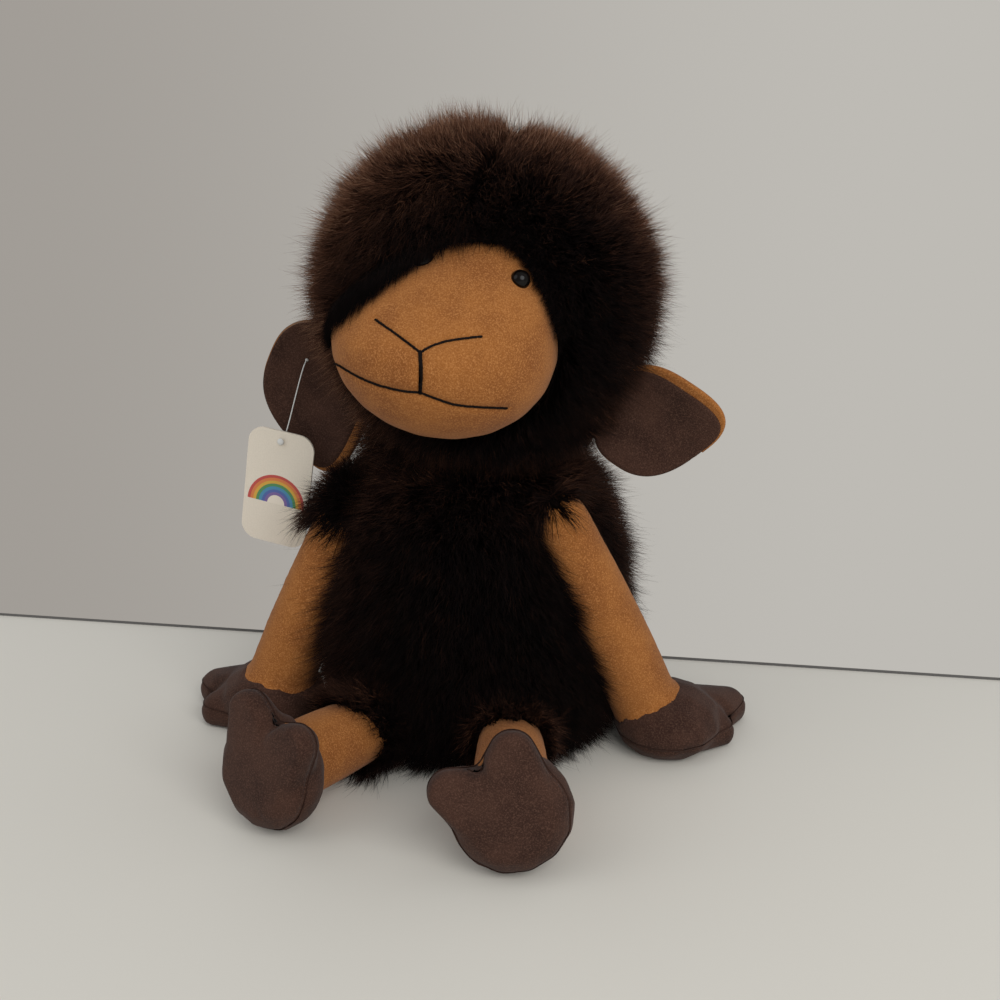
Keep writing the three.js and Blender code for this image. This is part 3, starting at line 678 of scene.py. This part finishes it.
def sewn_path(skin, pixels):
    """Places and outward directions on the face along a line of the picture."""
    seen = [skin.seen_at(pixel) for pixel in evenly(softened(pixels, 3), 2)]
    place, out = (np.array([found[k] for found in seen]) for k in (0, 1))
    return softened(place, 1), softened(out, 1)


def make_face():
    made = rounded("face_panel", solids("face_panel", "head_filling"), *FACE_SKIN)
    place, out = points(made.data), points(made.data, "normal")
    fuller = FACE_FULLER + CHIN_FULLER * np.clip(-out[:, 2] - 0.1, 0, 1) * (out[:, 1] < 0.3)
    put(made.data, place + out * fuller[:, None])
    skin = Skin(refined(made))
    paths = [sewn_path(skin, line) for line in FACE_LINES]
    place, out = points(made.data), points(made.data, "normal")
    front = np.flatnonzero(place[:, 1] < head_centre.y - 0.03)
    depth = np.zeros(len(place))
    for path, _ in paths:
        far = np.linalg.norm(place[front, None] - path[None, ::3], axis=2).min(1)
        depth[front] = np.maximum(depth[front], PULL_DEPTH * np.exp(-((far / PULL_RADIUS) ** 2)))
    for side in SIDES:
        far = np.linalg.norm(place - eye_place(side)[0], axis=1)
        depth = np.maximum(depth, EYE_DIMPLE * np.exp(-((far / EYE_DIMPLE_RADIUS) ** 2)))
    put(made.data, place - out * depth[:, None])
    finish(made, "tan")
    settle(made, "head", "tan_suede", "face_panel")
    return made, paths


def make_stitching(skin, paths):
    parts = []
    for (path, _), width in zip(paths, FACE_THREADS):
        parts += stitches(*skin.nearest(path), width, STITCH, STITCH_GAP)
    made = piece("face_stitching", faces_mesh("face_stitching", *joined(parts)), "thread")
    settle(made, "head", "thread", "face_stitching")


def make_eye(side):
    """A glossy dome with a turned rim."""
    base, way = eye_place(side)
    across = unit(np.cross(way, (0.3, 0.5, 0.8)))
    up = np.cross(way, across)
    arc = [math.radians(10 * k) for k in range(10)]
    outline = [(0.35, -0.5), (0.8, -0.45), (0.97, -0.28), (1.0, -0.08)]
    outline += [(math.cos(turn), math.sin(turn)) for turn in arc[:-1]]
    segments = 32
    corners = []
    for radius, rise in outline:
        for k in range(segments):
            turn = 2 * math.pi * k / segments
            ring = across * math.cos(turn) + up * math.sin(turn)
            corners.append(base + ring * (radius * EYE_RADIUS) + way * (rise * EYE_HEIGHT))
    corners.append(base + way * EYE_HEIGHT)
    faces = [tuple(range(segments))[::-1], *ring_faces(len(outline), segments)]
    last = (len(outline) - 1) * segments
    faces += [(last + k, last + (k + 1) % segments, len(corners) - 1) for k in range(segments)]
    made = piece(f"eye_{side}", faces_mesh(f"eye_{side}", corners, faces), "eye")
    settle(made, "head", "eye", f"eye_{side}")
    frame["nodes"][f"eye_washer_{side}"].material_slots[0].material = MATERIALS["nylon"]
    return Skin(made)


face, sewn = make_face()
face_skin = Skin(face)
make_stitching(face_skin, sewn)
eye_skins = {side: make_eye(side) for side in SIDES}
muzzle = points(face.data).mean(0)


# Fur cloths
def make_cloth(name, body, nodes, filling, cut=None):
    made = rounded(name, hull(*nodes), *CLOTH_SKIN)
    place, out = points(made.data), points(made.data, "normal")
    put(made.data, place - out * np.where(out[:, 2:] < -0.75, SEAT_ROOT, FUR_ROOT))
    if cut:
        opening = made.modifiers.new("opening", "BOOLEAN")
        opening.object = cut
        opening.operation = "DIFFERENCE"
        applied(made)
    finish(made, "cloth")
    settle(made, body, "fur", filling)
    return made


halves = {part: [f"{part}_fur_{side}" for side in SIDES] for part in ("head", "body")}
head_cloth = make_cloth("head_cloth", "head", halves["head"], "head_filling", face)
body_cloth = make_cloth("body_cloth", "torso", halves["body"], "body_filling")
neck_cloth = make_cloth("neck_cloth", "neck", ["neck_fur"], "neck_filling")


# Limbs
def trimmed_in(made, skin, depth):
    """Takes away what lies deeper than this inside another skin, and closes the rest."""
    hidden = skin.covers(points(made.data), -depth)
    trimmed = bmesh.new()
    trimmed.from_mesh(made.data)
    trimmed.verts.ensure_lookup_table()
    deep = [trimmed.verts[number] for number in np.flatnonzero(hidden)]
    bmesh.ops.delete(trimmed, geom=deep, context="VERTS")
    bmesh.ops.holes_fill(trimmed, edges=[e for e in trimmed.edges if e.is_boundary])
    bmesh.ops.recalc_face_normals(trimmed, faces=trimmed.faces)
    trimmed.to_mesh(made.data)
    trimmed.free()
    return made


def sole_plane(body):
    """Middle of the sole's panel and the direction from it into the hoof."""
    sole = points(frame["nodes"][f"{body}_hoof_sole"].data)
    upper = points(frame["nodes"][f"{body}_hoof_upper"].data)
    middle = (sole.min(0) + sole.max(0)) / 2
    inward = np.linalg.svd(sole - sole.mean(0), full_matrices=False)[2][2]
    inward *= np.sign((upper.mean(0) - middle) @ inward)
    return middle, inward


def cut_off(made, name, at, way):
    """Cuts a closed cover at a plane: what the way points to stays, the rest is a new piece."""
    loop = None
    halves = []
    for sign in (1, -1):
        half = bmesh.new()
        half.from_mesh(made.data)
        every = [*half.verts, *half.edges, *half.faces]
        plane = {"plane_co": at, "plane_no": way * -sign}
        bmesh.ops.bisect_plane(half, geom=every, clear_outer=True, **plane)
        edges = [e for e in half.edges if e.is_boundary]
        if sign == 1:
            loop = ring_of(edges)
        bmesh.ops.holes_fill(half, edges=edges)
        halves.append(half)
    halves[0].to_mesh(made.data)
    halves[0].free()
    return piece(name, mesh_of(halves[1], name)), loop


def ring_of(edges):
    """Places round the longest loop of some edges, in order."""
    ahead = {}
    for edge in edges:
        for a, b in (edge.verts, reversed(edge.verts)):
            ahead.setdefault(a, []).append(b)
    loops = []
    while ahead:
        start = next(iter(ahead))
        loop, here = [], start
        while here in ahead:
            loop.append(here.co.copy())
            onward = [v for v in ahead.pop(here) if v in ahead]
            here = onward[0] if onward else start
        loops.append(loop)
    best = max(loops, key=len)
    return np.array([*best, best[0]])


def crease(made, ring, inward):
    """Presses a fold into a hoof, from the notch between its toes towards its middle."""
    flat = ring - np.outer(ring @ inward, inward)
    across = unit(np.cross(inward, ASKEW))
    turns = np.radians(np.arange(0, 360, 5))[:, None]
    ways = np.cos(turns) * across + np.sin(turns) * np.cross(inward, across)
    reach = flat @ ways.T
    notch = flat[(reach.max(0) - reach).min(1).argmax()]
    run = (flat.mean(0) - notch) * CREASE_LENGTH
    place, out = points(made.data), points(made.data, "normal")
    off = place - np.outer(place @ inward, inward) - notch
    share = np.clip(off @ run / (run @ run), -0.3, 1)
    far = np.linalg.norm(off - share[:, None] * run, axis=1)
    depth = CREASE * np.exp(-((far / CREASE_WIDTH) ** 2)) * (1 - np.clip(share, 0, 1))
    put(made.data, place - out * depth[:, None])


def covered(limb, side):
    """Which places on a limb the body's fur hangs over."""
    root = np.array(pivot(f"{limb}_lift_{side}"))
    along = unit(sole_plane(f"{limb}_{side}")[0] - root)
    more = np.array(COVERED_MORE[limb])

    def keep(place, out):
        broad, fine = (np.sin(place @ np.array(way)) for way in ((900, 700, 800), (400, -600, 500)))
        reach = COVERED[f"{limb}_{side}"] + RAGGED * broad * fine
        return (place - root) @ along < reach + OVERHANG * np.clip(out @ more, 0, 1)

    return keep


def make_limb(limb, side):
    body = f"{limb}_{side}"
    node = {part: f"{body}_{part}" for part in ("sleeve", "hoof_upper", "hoof_sole", "filling")}
    sleeve = rounded(node["sleeve"], solids(node["sleeve"], node["filling"]), *SLEEVE_SKIN)
    hoof = solids(node["hoof_upper"], node["hoof_sole"], node["filling"])
    upper = rounded(node["hoof_upper"], hoof, *HOOF_SKIN)
    middle, inward = sole_plane(body)
    seam = middle + inward * SEAM_RISE[limb]
    root = np.array(pivot(f"{limb}_lift_{side}"))
    place, out = points(sleeve.data), points(sleeve.data, "normal")
    full = np.clip(np.linalg.norm(place - root, axis=1) / np.linalg.norm(middle - root), 0, 1)
    put(sleeve.data, place + out * (FULLER[limb] * np.sin(full * 2.9))[:, None])
    trimmed_in(upper, Skin(sleeve), HOOF_INSET)
    stuffed(upper, np.abs((points(upper.data) - seam) @ inward) < SEAM_HELD, HOOF_SWELL)
    trimmed_in(sleeve, Skin(upper), SLEEVE_INSET)
    near_root = np.linalg.norm(points(sleeve.data) - root, axis=1) < ROOT_HELD
    stuffed(sleeve, near_root, SLEEVE_SWELL)
    finish(refined(sleeve), "tan", "cloth")
    place, out = (points(sleeve.data, part, "polygons") for part in ("center", "normal"))
    under_fur = covered(limb, side)(place, out)
    sleeve.data.polygons.foreach_set("material_index", under_fur.astype(int))
    settle(sleeve, body, "tan_suede", node["sleeve"], node["filling"])

    refined(upper)
    place, out = points(upper.data), points(upper.data, "normal")
    off_seam = ((place - seam) @ inward) / SEAM_WIDTH
    put(upper.data, place - out * (SEAM_DEPTH * np.exp(-off_seam**2))[:, None])
    skin = Skin(upper)
    sole, ring = cut_off(upper, node["hoof_sole"], Vector(seam), Vector(inward))
    for made, name in ((upper, "hoof_upper"), (sole, "hoof_sole")):
        crease(made, ring, inward)
        finish(made, "brown")
        settle(made, body, "dark_suede", node[name])

    ring = evenly(ring, 0.0015)
    place, out = skin.nearest(ring + inward * SOLE_STITCH_OFF)
    rows = joined(stitches(place, out, SOLE_THREAD, SOLE_STITCH, SOLE_STITCH_GAP))
    name = f"{body}_sole_stitches"
    sewing = piece(name, faces_mesh(name, *rows), "brown_thread")
    settle(sewing, body, "thread")
    return sleeve, Skin(sleeve), skin


limbs, limb_covers = {}, {}
for limb in ("arm", "leg"):
    for side in SIDES:
        limb_covers[limb, side], *limbs[limb, side] = make_limb(limb, side)


# Ears: a dark panel in front, and a tan one behind that rolls over one edge
head_skin = Skin(head_cloth)


def ear_grid(side, spots):
    """Places on the ear for rows of (along, across, depth); along and across run from -1 to 1."""
    across = joint_axis(f"ear_fold_{side}")
    front = Vector((0, -1, 0))
    along = across.cross(front)
    basis = np.array([along, across, front])
    share, aside, depth = spots
    swell = (1 - np.abs(share) ** EAR_SQUARE) ** (1 / EAR_SQUARE)
    puff = EAR_PUFF * (1 - np.clip(np.abs(aside), 0, 1) ** 2) * (1 - share**2)
    sideways = aside * EAR_WIDTH[side] / 2 * swell
    run = 0.5 + 0.525 * share
    local = np.stack(
        [
            run * (EAR_LENGTH[side] + EAR_SKEW[side] * sideways),
            sideways + EAR_ASIDE[side],
            EAR_CUP * (aside * swell) ** 2 + depth + np.sign(depth) * puff,
        ],
        -1,
    )
    return np.array(pivot(f"ear_fold_{side}")) + local @ basis


def panel(name, grid, *finishes):
    """A sheet of cloth with its cut edge showing, less what is inside the head."""
    rows, columns = grid.shape[:2]
    hidden = head_skin.covers(grid.reshape(-1, 3), 0.0)
    faces = []
    for i in range(rows - 1):
        for j in range(columns - 1):
            corner = i * columns + j
            face = (corner, corner + 1, corner + columns + 1, corner + columns)
            if not hidden[list(face)].all():
                faces.append(face)
    used = sorted({k for face in faces for k in face})
    number = {k: n for n, k in enumerate(used)}
    corners = grid.reshape(-1, 3)[used]
    faces = [tuple(number[k] for k in face) for face in faces]
    made = piece(name, faces_mesh(name, corners, faces), *finishes)
    thick = made.modifiers.new("thick", "SOLIDIFY")
    thick.thickness = SUEDE
    thick.offset = 0
    thick.material_offset_rim = 1
    applied(made)
    finish_index = np.empty(len(made.data.polygons), int)
    made.data.polygons.foreach_get("material_index", finish_index)
    finish(made, *finishes)
    made.data.polygons.foreach_set("material_index", finish_index)
    return made


def make_ear(side):
    body = f"ear_{side}"
    depth = SUEDE / 2 + EAR_GAP
    rows = np.sin(np.linspace(-0.4, 0.495, EAR_ROWS) * math.pi)[:, None]
    edge = 1 - EAR_ROLL * (1 - rows**2) ** 0.5
    share = rows * np.ones((1, 25))
    aside = -1 + np.linspace(0, 1, 25)[None] * (edge + 1)
    front = ear_grid(side, (share, aside, np.full(share.shape, depth)))
    outer = panel(f"ear_outer_{side}", front, "brown", "raw_edge")
    settle(outer, body, "dark_suede", f"ear_outer_{side}")

    share = rows * np.ones((1, 37))
    run = np.linspace(0, 1, 37)[None] * np.ones((EAR_ROWS, 1))
    strip, roll = 6 / 36, 11 / 36  # where the strip in front ends, and the roll after it
    turn = np.clip((run - strip) / (roll - strip), 0, 1) * math.pi
    under = 1 - 2.03 * np.clip((run - roll) / (1 - roll), 0, 1)
    aside = np.where(run < strip, edge + (1 - edge) * run / strip, under)
    bulge = 0.02 * np.sin(turn) * (run >= strip) * (run <= roll)
    levels = depth * np.cos(turn)
    back = ear_grid(side, (share, aside + bulge, levels))
    inner = panel(f"ear_inner_{side}", back, "tan", "raw_edge")
    settle(inner, body, "tan_suede", f"ear_inner_{side}")


for side in SIDES:
    make_ear(side)


# Tag and its pin
def make_pin():
    hole, foot = np.array(pivot("pin_swing")), np.array(pivot("tag_twist"))
    back = np.array([0, PIN_BACK, 0])
    out = np.array([0, -PIN_OUT, 0])
    bend = np.array([hole - back + [0, PIN_RADIUS, 0], hole + out, foot - out - back, foot])
    share = np.linspace(0, 1, 40)[:, None]
    weights = ((1 - share) ** 3, 3 * share * (1 - share) ** 2, 3 * share**2 * (1 - share), share**3)
    path = sum(weight * point for weight, point in zip(weights, bend))
    knob = foot - [0, TAG_THICK + TAG_CLEAR + KNOB_THICK / 2, 0]
    arc = np.linspace(-1, 1, 11)
    dome = np.sqrt(np.maximum(1 - arc**2, 0.0025))
    parts = [
        tube_parts(path, np.full(len(path), FILAMENT_RADIUS), 8),
        tube_parts([hole + back, hole - back], [PIN_RADIUS] * 2, 10),
        tube_parts(softened([foot + [0, PIN_RADIUS, 0], knob], 1), [PIN_RADIUS] * 4, 10),
        tube_parts(knob + arc[:, None] * [0, KNOB_THICK / 2, 0], dome * KNOB_RADIUS, 20),
    ]
    bar = hole + back + (np.linspace(0, 1, 5)[:, None] - 0.5) * [0, 0, PIN_BAR]
    parts.append(tube_parts(bar, np.array([0.5, 1, 1, 1, 0.5]) * PIN_RADIUS, 10))
    made = piece("tag_pin", faces_mesh("tag_pin", *joined(parts)), "nylon")
    settle(made, "pin", "nylon", "tag_pin")


make_pin()
frame["nodes"]["hang_tag"].material_slots[0].material = MATERIALS["card"]


# Fur
def scattered(rng, made, keep, per_mm2):
    """Random places on a skin with their outward directions."""
    mesh = made.data
    mesh.calc_loop_triangles()
    corners = np.empty(3 * len(mesh.loop_triangles), int)
    mesh.loop_triangles.foreach_get("vertices", corners)
    corners = corners.reshape(-1, 3)
    place, out = points(mesh), points(mesh, "normal")
    corners = corners[keep(place[corners].mean(1), unit(out[corners].mean(1)))]
    a, b, c = place[corners].transpose(1, 0, 2)
    area = np.linalg.norm(np.cross(b - a, c - a), axis=1) / 2
    count = int(area.sum() * 1e6 * per_mm2)
    chosen = corners[rng.choice(len(area), count, p=area / area.sum())]
    along, across = np.sqrt(rng.random(count)), rng.random(count)
    share = np.stack([1 - along, along * (1 - across), along * across], 1)[..., None]
    return (place[chosen] * share).sum(1), unit((out[chosen] * share).sum(1))


def tones(rng, out, painted_backlight):
    """A tone for every tuft: painted shade makes it near black in front, painted backlight browner
    where the fur faces away.
    """
    away = painted_backlight * np.clip((out @ np.array([-0.35, 0.9, 0.1]) + 0.85) / 0.85, 0, 1)
    level = FRONT_TONE + (EDGE_TONE - FRONT_TONE) * away + rng.normal(0, TONE_SPREAD, len(out))
    return np.clip(level, 0, len(FUR_TONES) - 1).astype(int)


def grown(rng, root, out, comb, layer, painted_backlight):
    """Strands of every tuft: roots, middles, tips, widths and tones."""
    way, length = comb(root, out)
    tufts, each = len(root), layer["each"]
    total = tufts * each
    swirl = np.sin(root[:, [1, 2, 0]] * 310 + [0.4, 2.1, 4.0]) * np.cos(root[:, [2, 0, 1]] * 230)
    way = unit(unit(way) + 0.2 * swirl + rng.normal(0, 0.1, (tufts, 3)))
    length = length * layer["length"] * (1 + layer["vary"] * rng.uniform(-1, 1, tufts))
    tone = tones(rng, out, painted_backlight)
    root, out, way = (np.repeat(part, each, 0) for part in (root, out, way))
    length = np.repeat(length, each) * rng.uniform(0.75, 1.1, total)
    aside = rng.normal(0, layer["spread"], (total, 3))
    aside -= out * (aside * out).sum(1, keepdims=True)
    start = root + aside
    way = unit(way + rng.normal(0, layer["stray"], (total, 3)))
    tip = start + way * length[:, None] - aside * layer["gather"]
    curl = rng.normal(0, 0.0005, (total, 3))
    middle = start + (tip - start) * 0.52 + out * (0.09 * length)[:, None] + curl
    return start, middle, tip, np.full(total, layer["width"]), np.repeat(tone, each)


def strand_mesh(name, start, middle, tip, width, tone):
    """Three-sided tapering strands, dark at the root."""
    count = len(start)
    run = unit(tip - start)
    side = unit(np.cross(run, ASKEW))
    up = np.cross(run, side)
    rings = []
    for place, share in ((start, 0.5), (middle, 0.4)):
        for turn in (0, 2 * math.pi / 3, 4 * math.pi / 3):
            off = side * math.cos(turn) + up * math.sin(turn)
            rings.append(place + off * (share * width)[:, None])
    corners = np.stack([*rings, tip], 1).reshape(-1, 3)
    pairs = ((0, 1), (1, 2), (2, 0))
    lower = [(i, j, 3 + i) for i, j in pairs] + [(j, 3 + j, 3 + i) for i, j in pairs]
    upper = [(3 + i, 3 + j, 6) for i, j in pairs]
    pattern = np.array([(0, 2, 1), *lower, *upper])
    faces = (pattern[None] + 7 * np.arange(count)[:, None, None]).reshape(-1, 3)
    mesh = bpy.data.meshes.new(name)
    mesh.vertices.add(len(corners))
    mesh.vertices.foreach_set("co", corners.ravel())
    mesh.loops.add(faces.size)
    mesh.loops.foreach_set("vertex_index", faces.ravel())
    mesh.polygons.add(len(faces))
    mesh.polygons.foreach_set("loop_start", np.arange(0, faces.size, 3))
    finishes = np.zeros((count, len(pattern)), int)
    finishes[:, 1 + len(lower):] = tone[:, None]
    finishes[:, 1:1 + len(lower)] = np.maximum(tone - 1, 0)[:, None]
    made = piece(name, mesh, *FUR_TONES)
    mesh.polygons.foreach_set("material_index", finishes.ravel())
    mesh.update()
    return made


def coat(name, body, made, keep, comb, seed, skins, painted_backlight, seam=None):
    """Fur on one cloth, in two halves along its seam where it has one."""
    rng = np.random.default_rng(seed)
    layers = []
    for layer in (UNDERCOAT, GUARD, WISPS):
        root, out = scattered(rng, made, keep, layer["per_mm2"])
        strands = grown(rng, root, out, comb, layer, painted_backlight)
        hidden = np.zeros(len(strands[0]), bool)
        for skin in skins:
            hidden |= skin.covers(strands[0], ROOT_CLEAR)
        start, middle, tip, width, tone = (part[~hidden] for part in strands)
        for skin in skins:
            skin.push_out(middle, MIDDLE_CLEAR)
            skin.push_out(tip, TIP_CLEAR)
        low, high = np.array(cad_box[0]) - FUR_REACH, np.array(cad_box[1]) + FUR_REACH
        edge = np.clip(tip, low, high)
        share = (edge - start) / np.where(edge == tip, 1, tip - start)
        kept = np.where(edge == tip, 1, share).min(1)[:, None]
        middle, tip = start + (middle - start) * kept, start + (tip - start) * kept
        for place in (start, middle, tip):
            place[:, 2] = np.maximum(place[:, 2], FLOOR_CLEAR)
        layers.append((start, middle, tip, width, tone))
    parts = [np.concatenate(rows) for rows in zip(*layers)]
    halves = {"": np.ones(len(parts[0]), bool)}
    if seam is not None:
        way, through = seam
        left = (parts[0] - np.array(through)) @ np.array(way) > 0
        halves = {"_left": left, "_right": ~left}
    for half, chosen in halves.items():
        rows = np.flatnonzero(chosen)
        batches = np.array_split(rows, math.ceil(len(rows) / PIECE_STRANDS))
        for number, batch in enumerate(batches):
            fur = strand_mesh(f"{name}{half}_{number + 1}", *(part[batch] for part in parts))
            nodes = [] if number else [node for node in [f"{name}{half}"] if node in frame["nodes"]]
            settle(fur, body, "fur", *nodes)


def outside_head(place, out):
    return ((place - np.array(head_centre)) * out).sum(1) > 0.045


def comb_head(place, out):
    """Stands out, parted at the seam on top, and hangs over the brow, most over the right eye."""
    seam, rise = (np.array(lean @ Vector(way)) for way in ((1, 0, 0), (0, 0, 1)))
    from_middle = place - np.array(head_centre)
    from_seam = from_middle @ seam
    upward = unit(from_middle) @ rise
    top = np.clip((upward - 0.6) / 0.3, 0, 1)
    parted = np.sign(from_seam) * np.exp(-np.abs(from_seam) / 0.008) * top
    way = out + seam * (0.6 * parted)[:, None] + np.array([0, 0, -0.1])
    facing = np.clip((unit(from_middle) @ np.array([0, -1, 0]) - 0.35) / 0.3, 0, 1)
    brow = facing * np.clip(upward * 3, 0, 1)
    fringe = brow * np.clip(0.35 - from_seam / 0.03, 0, 1)
    way += brow[:, None] * np.array([0, -0.4, -0.25])
    way += fringe[:, None] * np.array([0.15, -0.5, -0.75])
    way += (facing * np.clip(-upward * 3, 0, 1))[:, None] * np.array([0, 0.25, 0])
    return way, 1 - 0.2 * np.abs(parted) + 0.25 * fringe


def outside_body(place, out):
    return (out[:, 2] > -0.6) & (place[:, 2] > 0.004)


def comb_body(place, out):
    """Lies downwards, spreads where it meets the floor, and falls over the arms' roots."""
    way = out + np.array([0, 0, -0.5])
    low = np.clip(1 - place[:, 2] / 0.02, 0, 1)
    way[:, 2] += 0.4 * low
    lower = np.clip((0.105 - place[:, 2]) / 0.03, 0, 1)
    length = 1 + 0.75 * lower * np.clip(-0.85 * out[:, 0] - 0.35 * out[:, 1] - 0.2, 0, 1)
    for side in SIDES:
        far = np.linalg.norm(place - np.array(pivot(f"arm_lift_{side}")), axis=1)
        near = np.exp(-((far / 0.03) ** 2))
        length += 0.2 * near
        way += near[:, None] * np.array([0, 0, -0.4])
    return way, length


def all_round(place, out):
    return np.ones(len(place), bool)


def comb_neck(place, out):
    return out + np.array([0, 0, -0.3]), 0.9 + 0.75 * np.clip(-out[:, 0], 0, 1)


def comb_limb(limb, side):
    """Lies along the limb from its root."""
    root = np.array(pivot(f"{limb}_lift_{side}"))
    hoof = sole_plane(f"{limb}_{side}")[0]
    along = unit(hoof - root)

    def comb(place, out):
        lying = np.clip(1 + ((place - root) @ along - COVERED[f"{limb}_{side}"]) / 0.014, 0, 1)
        way = out * (0.8 - 0.35 * lying)[:, None] + along * (0.65 * lying)[:, None]
        return way, 0.5 + 0.5 * lying

    return comb


def make_brow(name, edge, way, tufts, seed):
    """Fur that falls over the brow as far as its edge in the picture."""
    rng = np.random.default_rng(seed)
    edge = evenly(softened(edge, 2), 0.4)
    tree = BVHTree.FromObject(head_cloth, bpy.context.evaluated_depsgraph_get())
    rows = [[], [], []]
    for pixel in edge[rng.integers(len(edge), size=tufts)]:
        pixel = pixel + np.array(way) * rng.triangular(*BROW_REACH) + rng.normal(0, 1.5, 2)
        spot, out = (np.array(part) for part in face_skin.seen_at(pixel))
        behind = Vector(spot + unit(spot - muzzle) * 0.016 + out * 0.004)
        start = np.array(tree.find_nearest(behind)[0])
        strand = (start, (start + spot) / 2 + out * 0.004, spot + out * rng.uniform(0.001, 0.004))
        for row, place in zip(rows, strand):
            row.extend(place + rng.normal(0, 0.0009, (BROW_EACH, 3)))
    start, middle, tip = (np.array(row) for row in rows)
    for skin in face_skins:
        for place in (middle, tip):
            skin.push_out(place, MIDDLE_CLEAR)
    count = tufts * BROW_EACH
    # mostly the darkest tone, painted shade as on the fur that faces the front
    tone = (rng.random(count) < 0.25).astype(int)
    fur = strand_mesh(name, start, middle, tip, np.full(count, UNDERCOAT["width"]), tone)
    settle(fur, "head", "fur")


limb_skins = [skin for pair in limbs.values() for skin in pair]
head_seam = (lean @ Vector((1, 0, 0)), head_centre)
body_middle = sum((Vector(corner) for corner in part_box("body_filling")), Vector()) / 2
body_seam = (Vector((1, 0, 0)), body_middle)
face_skins = [face_skin, *eye_skins.values()]
# the number after each coat's skins is how much painted backlight browns that coat
coat("head_fur", "head", head_cloth, outside_head, comb_head, 11, face_skins, 1, head_seam)
coat("body_fur", "torso", body_cloth, outside_body, comb_body, 12, limb_skins, 0.6, body_seam)
coat("neck_fur", "neck", neck_cloth, all_round, comb_neck, 13, [face_skin], 0.6)
make_brow("brow_fur_right", BROW_RIGHT, FROM_RIGHT, 1500, 31)
make_brow("brow_fur_left", BROW_LEFT, FROM_LEFT, 900, 32)
for number, (limb, side) in enumerate(limbs):
    cover, body = limb_covers[limb, side], f"{limb}_{side}"
    keep, comb = covered(limb, side), comb_limb(limb, side)
    coat(f"{body}_root_fur", body, cover, keep, comb, 21 + number, [], 0.5)


# Floor, wall and light
def quad(name, corners, finish_name):
    made = piece(name, faces_mesh(name, corners, [(0, 1, 2, 3)]), finish_name, smooth=False)


def make_stage():
    MATERIALS["floor"] = plain("floor", FLOOR, 0.6, Specular_IOR_Level=0.2)
    # dark grey: painted shadow of the gap where the wall meets the floor
    MATERIALS["joint"] = plain("wall_joint", srgb(96, 94, 92), 0.9)
    left, right = on_floor(WALL_FOOT_LEFT), on_floor(WALL_FOOT_RIGHT)
    along = (right - left).normalized()
    left, right = left - along * 2, right + along * 2
    near = Vector((along.y, -along.x, 0))
    quad("floor", [left + near * 3, right + near * 3, right, left], "floor")
    # a thin dark strip standing up at the floor's back edge, painted shadow of the gap at the
    # wall's foot
    rise = Vector((0, 0, 0.0016))
    left, right = left + near * 0.0005, right + near * 0.0005
    quad("wall_joint", [left, right, right + rise, left + rise], "joint")


def make_world():
    """Even light from all round; seen itself, it is the wall behind the floor, with painted shade
    that darkens it towards the left.
    """
    SCENE.world = bpy.data.worlds.new("studio")
    SCENE.world.use_nodes = True
    paint = Wire(SCENE.world.node_tree)
    rays = [f"Is {kind} Ray" for kind in ("Camera", "Glossy", "Transmission")]
    seen = [paint.node("ShaderNodeLightPath", out=ray) for ray in rays]
    right = camera.matrix_world.to_3x3() @ Vector((1, 0, 0))
    across = paint.node("ShaderNodeTexCoord", out="Generated").along(right, (0, 0, 0))
    # painted shade: the seen wall darkens from right to left
    wall = across.steps(-0.4, 0.3).mixed(WALL_SHADED_LEFT, WALL_RIGHT)
    colour = (seen[0] + seen[1] + seen[2]).mixed(AMBIENT, wall)
    feed(colour, SCENE.world.node_tree.nodes["Background"], "Color")


def area_light(name, at, size, power):
    lamp = bpy.data.lights.new(name, "AREA")
    lamp.shape = "DISK"
    lamp.size = size
    lamp.energy = power
    made = bpy.data.objects.new(name, lamp)
    made.location = at
    made.rotation_euler = (LIGHT_AIM - Vector(at)).to_track_quat("-Z", "Y").to_euler()
    SCENE.collection.objects.link(made)


make_stage()
area_light("key", (0.85, -0.95, 0.95), 1.2, 12)
area_light("fill", (-0.8, -0.7, 0.9), 0.9, 2)
make_world()
SCENE.view_settings.view_transform = "Standard"
